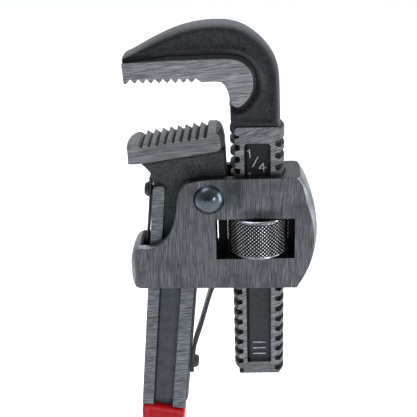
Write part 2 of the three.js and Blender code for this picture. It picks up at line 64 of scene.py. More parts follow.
SHANK_X, SHANK_RADIUS, SHANK_HALF = 20.0, 11.1, 6.35
SHANK_TOP, SHANK_FOOT = 28.8, -87.2
PITCH, THREAD_DEPTH, THREAD_PHASE = 5.08, 1.6, 17.9
NUT_LOW, NUT_HIGH, NUT_RADIUS, NUT_RIM = -26.6, -9.4, 12.93, 1.25
PANEL_LEFT, PANEL_RIGHT, PANEL_LOW, PANEL_HIGH, PANEL_DEPTH = 14.6, 25.3, -81.3, 22.6, 1.6
JAW_HALF, HEAD_HALF = 8.65, 6.9
HOUSING_HALF, SLOT_HALF, HANDLE_HALF = 10.25, 6.95, 6.7
FLANGE_WIDTH = 5.4

# Straight edges: (a coordinate along the edge, the coordinate across it there, the slope).
LEFT_FLANK = (-42.8, -28.2, 0.1042)
RIGHT_FLANK = (-42.7, -6.55, 0.1085)
BLOCK_FOOT = (-28.4, 15.25, 0.1553)
TOOTH_ROOT = (-26.1, 22.2, 0.1445)


def row(x, y, z):
    """A pivot-frame point in millimetres as a row-frame point in metres."""
    return (Vector((x, y, z)) + PIVOT) * MM


def pivot(point):
    """A row-frame point in metres as a pivot-frame point in millimetres."""
    return Vector(point) / MM - PIVOT


def dim(colour, share):
    """The colour times share, at most white."""
    return tuple(min(1.0, share * c) for c in colour)


# ---- materials ----


class Look:
    """A material whose nodes are added one call at a time. Positions are pivot-frame millimetres."""

    def __init__(self, name, metal=0.0, specular=0.5, coat=0.0, coat_rough=0.1):
        self.material = bpy.data.materials.new(name)
        self.material.use_nodes = True
        self.tree = self.material.node_tree
        self.shader = self.tree.nodes["Principled BSDF"]
        for socket, value in (("Metallic", metal), ("Specular IOR Level", specular),
                              ("Coat Weight", coat), ("Coat Roughness", coat_rough)):
            self.shader.inputs[socket].default_value = value
        place = self.node("ShaderNodeTexCoord")
        scaled = self.node("ShaderNodeVectorMath", operation="SCALE")
        self.tree.links.new(place.outputs["Object"], scaled.inputs[0])
        scaled.inputs["Scale"].default_value = 1 / MM
        moved = self.node("ShaderNodeVectorMath", operation="SUBTRACT")
        self.tree.links.new(scaled.outputs[0], moved.inputs[0])
        moved.inputs[1].default_value = PIVOT
        self.place = moved.outputs[0]
        split = self.node("ShaderNodeSeparateXYZ")
        self.tree.links.new(self.place, split.inputs[0])
        self.x, self.y, self.z = split.outputs

    def node(self, kind, **settings):
        made = self.tree.nodes.new(kind)
        for key, value in settings.items():
            setattr(made, key, value)
        return made

    def put(self, value, socket):
        """Links a socket, or sets a number or colour."""
        if isinstance(value, bpy.types.NodeSocket):
            self.tree.links.new(value, socket)
        else:
            socket.default_value = value

    def math(self, operation, a, b=0.0, c=0.0):
        made = self.node("ShaderNodeMath", operation=operation)
        for value, socket in zip((a, b, c), made.inputs):
            self.put(value, socket)
        return made.outputs[0]

    def times(self, first, *others):
        """The product of all the values."""
        for other in others:
            first = self.math("MULTIPLY", first, other)
        return first

    def distance(self, a, b, centre):
        """How far the point (a, b) is from centre."""
        squares = []
        for value, middle in zip((a, b), centre):
            off = self.math("SUBTRACT", value, middle)
            squares.append(self.times(off, off))
        return self.math("SQRT", self.math("ADD", *squares))

    def past(self, edge, along, across):
        """How far across lies beyond the straight edge at along."""
        start, there, slope = edge
        line = self.math("MULTIPLY_ADD", along, slope, there - slope * start)
        return self.math("SUBTRACT", across, line)

    def noise(self, scale, detail=3.0, rough=0.55, where=None, distort=0.0):
        made = self.node("ShaderNodeTexNoise")
        self.put(where or self.place, made.inputs["Vector"])
        settings = {"Scale": scale, "Detail": detail, "Roughness": rough, "Distortion": distort}
        for name, value in settings.items():
            made.inputs[name].default_value = value
        return made.outputs["Fac"]

    def pits(self, scale):
        """Distance from the nearest of many scattered points."""
        made = self.node("ShaderNodeTexVoronoi")
        self.put(self.place, made.inputs["Vector"])
        made.inputs["Scale"].default_value = scale
        return made.outputs["Distance"]

    def grain(self, along, across, length, width, shift=0.0):
        """Coordinates stretched along a direction, so that noise in them makes brush marks."""
        along, across = Vector(along).normalized(), Vector(across).normalized()
        joined = self.node("ShaderNodeCombineXYZ")
        axes = ((along, length), (across, width), (along.cross(across), width))
        for (axis, size), socket in zip(axes, joined.inputs):
            dot = self.node("ShaderNodeVectorMath", operation="DOT_PRODUCT")
            self.put(self.place, dot.inputs[0])
            dot.inputs[1].default_value = axis
            self.put(self.math("MULTIPLY_ADD", dot.outputs["Value"], 1.0 / size, shift), socket)
        return joined.outputs[0]

    def ramp(self, value, *stops):
        """A colour ramp; stops are (position, colour), a colour being a grey number or (r, g, b)."""
        made = self.node("ShaderNodeValToRGB")
        self.put(value, made.inputs[0])
        steps = made.color_ramp.elements
        while len(steps) < len(stops):
            steps.new(0.5)
        for step, (position, colour) in zip(steps, stops):
            step.position = position
            step.color = (*(colour if isinstance(colour, tuple) else (colour,) * 3), 1.0)
        return made.outputs["Color"]

    def curve(self, value, low, high, start=0.0, end=1.0):
        """value from low..high to start..end, clamped and smooth."""
        made = self.node("ShaderNodeMapRange", interpolation_type="SMOOTHSTEP")
        for item, socket in zip((value, low, high, start, end), made.inputs):
            self.put(item, socket)
        return made.outputs["Result"]

    def band(self, value, low, high, soft):
        """1 between low and high, fading to 0 over soft outside."""
        rise = self.curve(value, low - soft, low)
        return self.times(rise, self.curve(value, high, high + soft, 1.0, 0.0))

    def mix(self, factor, a, b):
        made = self.node("ShaderNodeMix", data_type="RGBA")
        self.put(factor, made.inputs["Factor"])
        for value, socket in ((a, made.inputs[6]), (b, made.inputs[7])):
            if isinstance(value, (int, float)):
                value = (value, value, value, 1.0)
            elif isinstance(value, tuple):
                value = (*value[:3], 1.0)
            self.put(value, socket)
        return made.outputs[2]

    def bump(self, height, depth, under=None):
        """A bump of the given depth in millimetres."""
        made = self.node("ShaderNodeBump")
        made.inputs["Distance"].default_value = depth * MM
        made.inputs["Strength"].default_value = 1.0
        self.put(height, made.inputs["Height"])
        if under is not None:
            self.put(under, made.inputs["Normal"])
        return made.outputs[0]

    def done(self, colour, rough, normal=None):
        self.put(colour, self.shader.inputs["Base Color"])
        self.put(rough, self.shader.inputs["Roughness"])
        if normal is not None:
            self.put(normal, self.shader.inputs["Normal"])
        return self.material


def forged(name, dark=(0.0065, 0.007, 0.0085), light=(0.030, 0.0325, 0.037), grit=1.0, fleck=0.45,
           specular=0.25, shade=None):
    """Black forging scale with a fine grit, faint rubbed patches and small pits."""
    look = Look(name, metal=0.2, specular=specular)
    bare = (0.14, 0.148, 0.16)
    fine = look.noise(1.5, 6.0, 0.78)
    coarse = look.noise(0.22, 3.0, 0.6)
    flecks = look.curve(look.noise(1.1, 8.0, 0.9), 0.57, 0.68)
    colour = look.mix(look.curve(fine, 0.42, 0.62), dark, light)
    colour = look.mix(look.times(flecks, fleck), colour, bare)
    colour = look.mix(look.curve(coarse, 0.42, 0.7, 0.0, 0.5), colour, dim(dark, 0.6))
    if shade is not None:
        colour = shade(look, colour)
    rough = look.curve(fine, 0.3, 0.8, 0.60, 0.38)
    normal = look.bump(look.noise(1.5, 5.0, 0.7), 0.16 * grit)
    normal = look.bump(look.curve(look.pits(0.9), 0.0, 0.35), 0.06 * grit, normal)
    return look.done(colour, rough, normal)


def head_wear_and_highlights(look, colour):
    """Painted highlights on the hook's head: its crown lighter, partly scale rubbed off and partly painted
    highlight where it faces the light from above, and a painted highlight on the upper right of the ridge
    beside its block.
    """
    bend_x, bend_z, bend_radius = 9.4, 47.6, 12.0
    worn = look.curve(look.noise(0.5, 4.0, 0.7), 0.25, 0.6, 0.55, 1.0)
    crown = look.curve(look.math("ABSOLUTE", look.y), HEAD_HALF - 1.3, HEAD_HALF - 0.05, 1.0, 0.0)
    # Painted highlight: a lighter arc on the ridge round the block, only on its upper right side, where the
    # light falls.
    ring = look.distance(look.x, look.z, (bend_x, bend_z))
    ring = look.band(ring, bend_radius - 0.4, bend_radius + 0.4, 1.2)
    upper = look.curve(look.z, bend_z - 4.0, bend_z + 4.0)
    right = look.curve(look.x, bend_x - 5.0, bend_x + 3.0)
    colour = look.mix(look.times(ring, upper, right, 0.42), colour, (0.11, 0.115, 0.125))
    # The crown lighter: partly rubbed scale, partly painted highlight where it faces the light.
    return look.mix(look.times(crown, worn, 0.85), colour, (0.055, 0.059, 0.065))


def ground(name, along, across, tone, tint=(0.96, 1.0, 1.06), bright=0.5, length=9.0, width=0.2,
           shade=None, metal=0.8, rough=(0.34, 0.5), spread=0.85):
    """Ground or brushed steel: fine parallel marks, a few long bright scratches, cloudy stains."""
    look = Look(name, metal=metal, specular=0.4)

    def strokes(longer, wider, shift, detail, coarse):
        grain = look.grain(along, across, longer * length, wider * width, shift)
        return look.noise(1.0, detail, coarse, grain)

    marks = strokes(1.0, 1.0, 0.0, 5.0, 0.66)
    wide = strokes(2.2, 4.0, 3.7, 2.0, 0.5)
    scratch = strokes(1.7, 0.8, 9.1, 1.0, 0.5)
    cloud = look.noise(0.13, 4.0, 0.6)
    base = dim(tint, tone)
    low, high = dim(base, 1 - 0.62 * spread), dim(base, 1 + 0.9 * spread)
    colour = look.ramp(marks, (0.33, low), (0.5, base), (0.68, high))
    colour = look.mix(look.curve(wide, 0.40, 0.62, 0.0, 0.22), colour, low)
    colour = look.mix(look.curve(scratch, 0.62, 0.72, 0.0, bright), colour, dim(base, 2.8))
    colour = look.mix(look.curve(cloud, 0.5, 0.72, 0.0, 0.35), colour, dim(base, 0.5))
    if shade is not None:
        colour = shade(look, colour)
    normal = look.bump(look.math("ADD", marks, look.times(scratch, 0.7)), 0.02)
    return look.done(colour, look.curve(marks, 0.3, 0.7, rough[1], rough[0]), normal)


def worn_edge(name, tone):
    """A handled corner: scale rubbed through to bare steel in places."""
    look = Look(name, metal=0.8)
    nicks = look.noise(0.9, 5.0, 0.7)
    fine = look.noise(5.0, 3.0, 0.6)
    colour = look.mix(look.curve(nicks, 0.36, 0.6), tone * 0.30, tone)
    colour = look.mix(look.curve(fine, 0.5, 0.75, 0.0, 0.5), colour, tone * 1.5)
    return look.done(colour, look.curve(nicks, 0.3, 0.7, 0.5, 0.33), look.bump(nicks, 0.08))


def recess(name, paint):
    """A dull black material for the sunk panel and for faces painted near black as shade; paint(look, fine)
    gives its colour.
    """
    look = Look(name, metal=0.1, specular=0.2)
    fine = look.noise(1.8, 6.0, 0.7)
    rough = look.curve(fine, 0.3, 0.8, 0.75, 0.55)
    return look.done(paint(look, fine), rough, look.bump(fine, 0.12))


# Near-black painted shade, faintly mottled, for faces that lie in shade.
def painted_shade_black(tone):
    return lambda look, fine: look.ramp(fine, (0.35, tone * 0.5), (0.62, tone), (0.8, tone * 3.0))


def panel_black(look, fine):
    """The sunk panel: black above the housing, greyer below it, with a painted shadow of its left wall
    along its left side.
    """
    black = look.ramp(fine, (0.35, (0.012, 0.013, 0.016)), (0.62, (0.026, 0.028, 0.032)), (0.8, 0.065))
    grey = look.ramp(fine, (0.3, (0.026, 0.028, 0.033)), (0.6, (0.047, 0.050, 0.058)),
                     (0.8, (0.08, 0.085, 0.095)))
    colour = look.mix(look.curve(look.z, -42.0, -34.0, 1.0, 0.0), black, grey)
    # Painted shadow of the panel's left wall.
    painted_shadow = look.curve(look.x, PANEL_LEFT + 0.9, PANEL_LEFT + 1.7, 0.95, 0.0)
    return look.mix(painted_shadow, colour, (0.002, 0.002, 0.003))


def thread_look():
    """Dark rolled thread with rubbed crests."""
    look = Look("thread_dark", metal=0.3, specular=0.16)
    fine = look.noise(1.6, 6.0, 0.7)
    marks = look.noise(1.0, 3.0, 0.6, look.grain((0, 1, 0), (0, 0, 1), 4.0, 0.3))
    radius = look.distance(look.x, look.y, (SHANK_X, 0))
    crest = look.curve(radius, SHANK_RADIUS - 0.5, SHANK_RADIUS - 0.05)
    worn = look.times(crest, look.curve(marks, 0.3, 0.65, 0.35, 1.0))
    colour = look.mix(look.curve(fine, 0.35, 0.7), (0.004, 0.0045, 0.006), (0.014, 0.015, 0.019))
    colour = look.mix(worn, colour, (0.115, 0.125, 0.137))
    return look.done(colour, look.curve(fine, 0.3, 0.8, 0.55, 0.38), look.bump(fine, 0.08))


def knurl_look():
    """Bright turned steel, with painted shade in the knurl's grooves and a darker bore."""
    look = Look("nut_knurl", metal=0.95)
    fine = look.noise(2.5, 4.0, 0.6)
    radius = look.distance(look.x, look.y, (SHANK_X, 0))
    high = look.curve(radius, NUT_RADIUS - 0.36, NUT_RADIUS - 0.06)
    inner = look.curve(radius, NUT_RADIUS - 1.9, NUT_RADIUS - 1.4)
    shine = look.mix(look.curve(fine, 0.35, 0.7), (0.62, 0.64, 0.67), (0.92, 0.93, 0.95))
    # Painted shade: near black down in the grooves, bright steel on the peaks.
    colour = look.mix(high, (0.012, 0.013, 0.015), shine)
    colour = look.mix(inner, (0.05, 0.053, 0.06), colour)
    return look.done(colour, look.curve(fine, 0.3, 0.75, 0.34, 0.2), look.bump(fine, 0.02))


def rim_look():
    """The nut's plain turned ends."""
    look = Look("nut_rim", metal=0.95)
    marks = look.noise(1.0, 3.0, 0.6, look.grain((0, 0, 1), (1, 0, 0), 0.25, 6.0))
    colour = look.ramp(marks, (0.3, (0.16, 0.17, 0.19)), (0.5, (0.36, 0.38, 0.41)),
                       (0.72, (0.6, 0.62, 0.65)))
    return look.done(colour, look.curve(marks, 0.3, 0.7, 0.3, 0.2), look.bump(marks, 0.02))


def rivet_look():
    """A blued, polished rivet head, painted darker towards its edge as shade."""
    look = Look("rivet_blued", metal=0.9)
    blue = (0.10, 0.122, 0.145)
    fine = look.noise(1.4, 5.0, 0.65)
    # Painted shade: the dome darker towards its edge.
    edge = look.curve(look.distance(look.x, look.z, (0, 0)), 5.3, 6.1)
    colour = look.mix(look.curve(fine, 0.35, 0.7), dim(blue, 0.62), blue)
    colour = look.mix(edge, colour, dim(blue, 0.22))
    return look.done(colour, look.curve(fine, 0.3, 0.75, 0.26, 0.15), look.bump(fine, 0.03))


def vinyl_look():
    """Glossy dipped vinyl, a little thicker and darker where it has run."""
    look = Look("red_vinyl", specular=0.09, coat=0.08, coat_rough=0.06)
    cloud = look.noise(0.10, 3.0, 0.6)
    runs = look.noise(1.0, 2.0, 0.5, look.grain((0.1, 0, 1), (1, 0, 0), 30.0, 5.0))
    colour = look.mix(look.curve(cloud, 0.3, 0.7), (0.37, 0.006, 0.010), (0.47, 0.009, 0.014))
    colour = look.mix(look.curve(runs, 0.5, 0.7, 0.0, 0.25), colour, (0.27, 0.004, 0.007))
    return look.done(colour, look.curve(cloud, 0.3, 0.7, 0.26, 0.36), look.bump(runs, 0.05))


# ---- outlines in the XZ plane ----


def smooth(value, low, high):
    t = min(1.0, max(0.0, (value - low) / (high - low)))
    return t * t * (3 - 2 * t)


def through(points, per):
    """A smooth curve through points, per steps to a span, ending on the last point."""
    pts = [Vector(p) for p in points]
    out = []
    for i in range(len(pts) - 1):
        a, b, c, d = pts[max(i - 1, 0)], pts[i], pts[i + 1], pts[min(i + 2, len(pts) - 1)]
        for k in range(per):
            t = k / per
            square = (2 * a - 5 * b + 4 * c - d) * t * t
            cube = (3 * b - a - 3 * c + d) * t ** 3
            out.append(0.5 * (2 * b + (c - a) * t + square + cube))
    return [*out, pts[-1]]


def looped(points):
    """Each point with the next one, round to the first."""
    return zip(points, points[1:] + points[:1])


def turn_area(points):
    """Twice the loop's area, above zero where the loop is anticlockwise."""
    return sum(a.x * b.y - b.x * a.y for a, b in looped(points))


def outline(parts, per, step=None):
    """A closed loop, anticlockwise with X right and Z up. A tuple is a corner; a list is a smooth
    curve through its points. step splits longer spans."""
    points = []
    for part in parts:
        points += through(part, per) if isinstance(part, list) else [Vector(part)]
    kept = [p for i, p in enumerate(points) if (p - points[i - 1]).length > 0.02]
    if turn_area(kept) < 0:
        kept.reverse()
    if step is None:
        return kept
    fine = []
    for a, b in looped(kept):
        count = max(1, round((b - a).length / step))
        fine += [a.lerp(b, k / count) for k in range(count)]
    return fine


def outward(points):
    """Each point's unit direction away from the inside of an anticlockwise loop."""
    away = []
    for i in range(len(points)):
        along = points[(i + 1) % len(points)] - points[i - 1]
        away.append(Vector((along.y, -along.x)).normalized())
    return away


def as_array(points):
    """Two-dimensional points as an array."""
    return np.array([tuple(p) for p in points])


# ---- surfaces ----


def join_rings(form, one, two):
    """A strip of faces between two closed rings of vertices."""
    for i in range(len(one)):
        j = (i + 1) % len(one)
        form.faces.new((one[i], one[j], two[j], two[i]))


def loft(form, rings, closed_ends=True):
    """Joins rings of equal length into a tube, and closes its ends with flat faces."""
    rows = [[form.verts.new(row(*p)) for p in ring] for ring in rings]
    for low, high in zip(rows, rows[1:]):
        join_rings(form, low, high)
    if closed_ends:
        form.faces.new(rows[0][::-1])
        form.faces.new(rows[-1])
    return rows


def ends_split(form):
    """Faces of more than four corners cut into triangles."""
    bmesh.ops.triangulate(form, faces=[f for f in form.faces if len(f.verts) > 4])
    return form


def both_sides(levels):
    """Levels given from the middle plane outwards, mirrored to the other side."""
    return [(-y, out) for y, out in reversed(levels) if y > 0] + list(levels)


def prism(points, levels):
    """A bar along Y. levels are (y, how far the outline moves outwards there)."""
    form = bmesh.new()
    away = outward(points)
    loft(form, [[(p.x + n.x * out, y, p.y + n.y * out) for p, n in zip(points, away)] for y, out in levels])
    return ends_split(form)


def gap(points, loop):
    """Distance from each point to the closed loop."""
    a, b = loop, np.roll(loop, -1, 0)
    ab = b - a
    part = ((points[:, None] - a) * ab).sum(-1) / (ab ** 2).sum(-1)
    near = points[:, None] - (a + ab * np.clip(part, 0, 1)[..., None])
    return np.sqrt((near ** 2).sum(-1)).min(1)


def inside(points, loop):
    """Whether each point is within the closed loop."""
    x, z = points[:, :1], points[:, 1:]
    a, b = loop, np.roll(loop, -1, 0)
    with np.errstate(divide="ignore", invalid="ignore"):
        over = (a[:, 1] > z) != (b[:, 1] > z)
        cross = x < (b[:, 0] - a[:, 0]) * (z - a[:, 1]) / (b[:, 1] - a[:, 1]) + a[:, 0]
    return (over & cross).sum(1) % 2 == 1


def fill(form, verts, spots, sizes):
    """Triangles through verts, whose places are spots. The first sizes[0] of them are the outer
    loop, the next sizes[1] a hole's loop, and those left lie between."""
    links = []
    loops = []
    for size in sizes:
        start = sum(len(loop) for loop in loops)
        links += [(start + i, start + (i + 1) % size) for i in range(size)]
        loops.append(spots[start:start + size])
    found, _, faces, origin, _, _ = delaunay_2d_cdt([Vector(s) for s in spots], links, [], 0, 1e-7)
    centres = as_array([sum((found[i] for i in f), Vector((0, 0))) / 3 for f in faces])
    wanted = inside(centres, loops[0])
    for hole in loops[1:]:
        wanted &= ~inside(centres, hole)
    for face, keep in zip(faces, wanted):
        corners = [verts[origin[i][0]] for i in face if origin[i]]
        if keep and len(set(corners)) == 3:
            form.faces.new(corners)


def cap(form, ring, height, side, step, hole=None):
    """Fills a ring of vertices, but not its hole, with a surface at y = side * height(points).
    Returns the vertices round the hole."""
    loops = [as_array([pivot(v.co).xz for v in ring])]
    if hole is not None:
        loops.append(hole)
    low, high = loops[0].min(0), loops[0].max(0)
    grid = np.array([
        (x + (0.5 * step if r % 2 else 0.0), z)
        for r, z in enumerate(np.arange(low[1], high[1], step * 0.87))
        for x in np.arange(low[0], high[0], step)
    ])
    for loop, within in zip(loops, (True, False)):
        grid = grid[(inside(grid, loop) == within) & (gap(grid, loop) > 0.45 * step)]
    spots = np.vstack([*loops, grid])
    free = spots[len(ring):]
    made = [form.verts.new(row(x, side * y, z)) for (x, z), y in zip(free, height(free))]
    fill(form, [*ring, *made], spots, [len(loop) for loop in loops])
    return made[:len(free) - len(grid)]


def ease(values, low, high):
    t = np.clip((values - low) / (high - low), 0, 1)
    return t * t * (3 - 2 * t)


def unevenness(points, side, scale, seed):
    """Even noise from -1 to 1 at points in the XZ plane."""
    return np.array([noise.noise((x * scale, side * 7.3 + seed, z * scale)) for x, z in points])


def merged(forms):
    whole = bmesh.new()
    for form in forms:
        mesh = bpy.data.meshes.new("part")
        form.to_mesh(mesh)
        form.free()
        whole.from_mesh(mesh)
        bpy.data.meshes.remove(mesh)
    return whole


# ---- pieces ----


def placed(name, data):
    made = bpy.data.objects.new(name, data)
    bpy.context.scene.collection.objects.link(made)
    return made


def copied(node):
    """The CAD node's shape with its split corners welded and its flat faces joined."""
    form = bmesh.new()
    form.from_mesh(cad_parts[node].data)
    bmesh.ops.remove_doubles(form, verts=form.verts, dist=1e-6)
    bmesh.ops.dissolve_limit(form, angle_limit=math.radians(0.5), verts=form.verts, edges=form.edges)
    return form


def piece(name, form, materials, sort=None, bevel=None, sharp=28.0, edge=None):
    """An object from form, in the row frame. materials are named; sort(centre, normal) names each
    face's material, and edge names the one of the rounded edges."""
    names = list(materials)
    bmesh.ops.recalc_face_normals(form, faces=form.faces)
    for face in form.faces:
        face.smooth = True
        if sort is not None:
            face.normal_update()
            face.material_index = names.index(sort(pivot(face.calc_center_median()), face.normal))
    for line in form.edges:
        if len(line.link_faces) == 2:
            line.smooth = line.calc_face_angle(0.0) < math.radians(sharp)
    mesh = bpy.data.meshes.new(name)
    form.to_mesh(mesh)
    form.free()
    for material in materials.values():
        mesh.materials.append(material)
    made = placed(name, mesh)
    if bevel:
        rounded = made.modifiers.new("rounded", "BEVEL")
        rounded.width = bevel * MM
        rounded.segments = 2
        rounded.limit_method = "ANGLE"
        rounded.angle_limit = math.radians(sharp)
        rounded.use_clamp_overlap = False
        rounded.harden_normals = True
        rounded.material = names.index(edge) if edge else -1
        rounded.miter_outer = "MITER_ARC"
    return made


def stand_in(made, node, body):
    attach(made, body)
    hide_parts(node)


# ---- hook jaw: head ----

# The rounded rim in section: (share of the half thickness, share of the rim's pull inwards).
CROWN = ((0.0, 0.0), (0.25, 0.008), (0.45, 0.03), (0.6, 0.1), (0.7, 0.18), (0.79, 0.3), (0.86, 0.43),
         (0.92, 0.58), (0.96, 0.73), (0.985, 0.86), (1.0, 1.0))
HEAD = outline([
    (9.45, SHANK_TOP), (9.35, 34),
    [(9.26, 39.5), (8.96, 42.5), (8.3, 45.4), (7.15, 47.4), (5.6, 48.4)],
    (5.0, 50.5), (-31.0, 50.5), (-31.7, 52.5),
    [(-32.0, 56.2), (-31.9, 57.4), (-31.15, 58.25), (-29.35, 59.05), (-26.15, 60.7), (-21.1, 63.5),
     (-16.0, 65.95), (-10.8, 68.05), (-5.65, 69.45), (-0.45, 70.3), (4.7, 70.55), (9.65, 70.2),
     (14.75, 68.65), (19.6, 65.55), (23.55, 61.7), (26.55, 57.4), (28.3, 53.0), (28.95, 48),
     (29.15, 41.5), (29.3, 36)],
    (29.4, SHANK_TOP),
], 5, 0.7)
THROAT_X, THROAT_LOW, THROAT_HIGH = 11, 36, 55
HOOK_TOOTH_X, HOOK_TOOTH_PITCH, HOOK_TEETH = -28.7, 3.14, 9
HOOK_TIP_Z, HOOK_ROOT_Z = 50.0, 48.5


def block_outline():
    """The hook's ground block: its row of teeth, the throat's bend and the bulge in the head."""
    teeth = [(-31.3, 48.3), (-30.2, 48.35)]
    for k in range(HOOK_TEETH):
        x = HOOK_TOOTH_X + k * HOOK_TOOTH_PITCH
        teeth += [(x - 0.12, HOOK_TIP_Z), (x + 0.12, HOOK_TIP_Z)]
        if k < HOOK_TEETH - 1:
            teeth += [(x + 1.45, HOOK_ROOT_Z), (x + 1.95, HOOK_ROOT_Z)]
    return outline([
        *teeth, (-1.3, 48.6), (3.5, 48.7),
        [(6.1, 48.5), (7.6, 47.1), (8.6, 45.0), (9.3, 42.5), (9.7, 40.6)],
        [(10.2, 39.4), (12.3, 38.4), (15.0, 40.0), (17.4, 43.4), (18.4, 47.6), (17.7, 51.8),
         (15.2, 55.2), (12.2, 56.9), (8.5, 57.4)],
        (0, 57.3), (-15, 56.9), (-31.6, 56.1), (-31.6, 55),
    ], 5)


BLOCK = block_outline()


def head_rim(x, z):
    """How far the head's edge is rounded in at its faces."""
    if x < THROAT_X and z < THROAT_HIGH:
        return 0.4
    return 0.8 + 1.7 * smooth(x, -30, -14) - 0.6 * smooth(x, 15, 28)


def head_height(points, side):
    """The head's face: a rounded bead inside the rim, a trough and a soft ridge round the block."""
    outer = as_array([p for p in HEAD if not (p.x < THROAT_X and THROAT_LOW < p.y < THROAT_HIGH)])
    rim = gap(points, outer)
    block = as_array(BLOCK)
    near = np.where(inside(points, block), 0.0, gap(points, block))
    ridge = 0.2 + 0.75 * ease(points[:, 0], -2, 13)
    face = HEAD_HALF - 0.42 * ease(rim, 2.6, 4.6)
    face += ridge * np.exp(-(((near - 3.6) / 1.15) ** 2)) - 1.2 * np.exp(-((near / 1.7) ** 2))
    worn = 0.06 * unevenness(points, side, 0.22, 3.0) + 0.03 * unevenness(points, side, 0.9, 5.0)
    return face + worn * ease(rim, 1.2, 3.0)


def pulled(loop, section, half, pull):
    """Rings of a body along Y whose edge is drawn in by section's share of pull(point)."""
    away = outward(loop)
    rings = []
    for part, share in both_sides(section):
        rings.append([
            (p.x - n.x * share * pull(p), part * half, p.y - n.y * share * pull(p))
            for p, n in zip(loop, away)
        ])
    return rings


def hook_head():
    form = bmesh.new()
    rows = loft(form, pulled(HEAD, CROWN, HEAD_HALF, lambda p: head_rim(*p)), closed_ends=False)
    for ring, side in ((rows[0], -1), (rows[-1], 1)):
        cap(form, ring, lambda points, s=side: head_height(points, s), side, 0.62)
    return form


def hook_block():
    """The ground block that carries the hook's teeth, flared where it meets the head."""
    def drawn_in(p):
        toothed = p.x < -31 or p.y < 51
        return 0.0 if toothed and p.x <= 9.9 else -1.3

    form = bmesh.new()
    section = ((0.8, 1.0), (0.9, 0.52), (1.0, 0.0))
    loft(form, pulled(BLOCK, section, JAW_HALF, drawn_in))
    return form


def block_sort(c, n):
    if abs(n.y) > 0.9:
        return "face"
    return "teeth" if c.z < HOOK_TIP_Z + 0.2 and c.x < -1.0 else "black"


# ---- hook jaw: threaded shank ----


def off_crest(angle, z):
    """How far, in turns, an angle and height are from the nearest crest of the thread."""
    turn = (z - THREAD_PHASE) / PITCH - angle / math.tau
    return abs(turn - round(turn))


def thread_radius(angle, z):
    """The shank's radius: flat crests, rounded grooves, and a plain collar at the top."""
    groove = 1 - smooth(off_crest(angle, z), 0.20, 0.29)
    depth = THREAD_DEPTH * groove * (1 - smooth(z, 25.4, 26.6))
    return SHANK_RADIUS - depth - 0.64 * max(0.0, z - 28.4)


def shank_edge(y, z, side):
    """X of the shank's threaded side at height z, with the worn corner at the foot."""
    reach = math.sqrt(SHANK_RADIUS ** 2 - y * y)
    for _ in range(2):
        radius = thread_radius(math.atan2(y, side * reach), z)
        reach = math.sqrt(max(radius ** 2 - y * y, 1.0))
    worn = smooth(z, SHANK_FOOT, SHANK_FOOT + 0.8)
    x = SHANK_X + side * (reach - 0.5 * (1 - worn))
    corner = 11.6 - 0.742 * (z - SHANK_FOOT + 1.0)
    return max(x, corner) if side < 0 else x


def panel_outline():
    left, right, low, high = PANEL_LEFT, PANEL_RIGHT, PANEL_LOW, PANEL_HIGH
    r = 1.6
    bend = 0.47
    return outline([
        (left, low), (right, low),
        [(right, high - r), (right - bend, high - bend), (right - r, high)],
        [(left + r, high), (left + bend, high - bend), (left, high - r)],
    ], 3, 2.0)


def shank():
    form = bmesh.new()
    chamfer = 0.22
    steps = 7
    ys = [(SHANK_HALF - chamfer) * math.sin(math.pi / 2 * t / steps) for t in range(-steps, steps + 1)]
    columns = {}
    for side in (-1, 1):
        grid = []
        for z in np.arange(SHANK_FOOT, SHANK_TOP + 0.5, 0.26):
            line = [(shank_edge(y, z, side), y) for y in ys]
            ends = [(line[at][0] - side * chamfer, face * SHANK_HALF) for at, face in ((0, -1), (-1, 1))]
            grid.append([form.verts.new(row(x, y, z)) for x, y in (ends[0], *line, ends[1])])
        for low, high in zip(grid, grid[1:]):
            for i in range(len(low) - 1):
                form.faces.new((low[i], low[i + 1], high[i + 1], high[i]))
        columns[side] = grid
    for at in (0, -1):
        form.faces.new([*columns[-1][at], *reversed(columns[1][at])])
    for end, side in ((0, -1), (-1, 1)):
        ring = [line[end] for line in columns[1]] + [line[end] for line in reversed(columns[-1])]
        panel_face(form, ring, side)
    return ends_split(form)


def panel_face(form, ring, side):
    """The shank's flat face with its long panel sunk into it."""
    floor_y = SHANK_HALF - PANEL_DEPTH
    steps = ((0.0, SHANK_HALF), (0.12, SHANK_HALF - 0.15), (0.3, floor_y + 0.25), (0.55, floor_y))
    hole = panel_outline()
    away = outward(hole)
    loops = [
        [form.verts.new(row(p.x - n.x * inset, side * y, p.y - n.y * inset)) for p, n in zip(hole, away)]
        for inset, y in steps
    ]
    for near, far in zip(loops, loops[1:]):
        join_rings(form, near, far)
    form.faces.new(loops[-1])
    edge = ring + loops[0]
    fill(form, edge, as_array([pivot(v.co).xz for v in edge]), [len(ring), len(hole)])


def shank_sort(c, n):
    flat = abs(n.y) > 0.9
    if flat and abs(c.y) > SHANK_HALF - 0.1:
        return "face"
    within = PANEL_LEFT - 0.1 < c.x < PANEL_RIGHT + 0.1 and abs(c.z) < 0.1 - PANEL_LOW
    if within and abs(c.y) < SHANK_HALF:
        return "panel" if abs(c.y) > 3 and c.z > SHANK_FOOT + 1 else "face"
    foot = c.z < SHANK_FOOT + 0.4 and abs(n.z) > 0.8
    return "face" if flat or foot else "thread"


def foot_cast(look, colour):
    """The rough, greyer casting at the shank's foot."""
    grain = look.noise(1.1, 5.0, 0.75)
    low = look.curve(look.z, -82.5, -80.5, 0.7, 0.0)
    rough = look.ramp(grain, (0.35, (0.035, 0.038, 0.04)), (0.55, (0.10, 0.106, 0.108)),
                      (0.7, (0.22, 0.23, 0.235)))
    return look.mix(low, colour, rough)


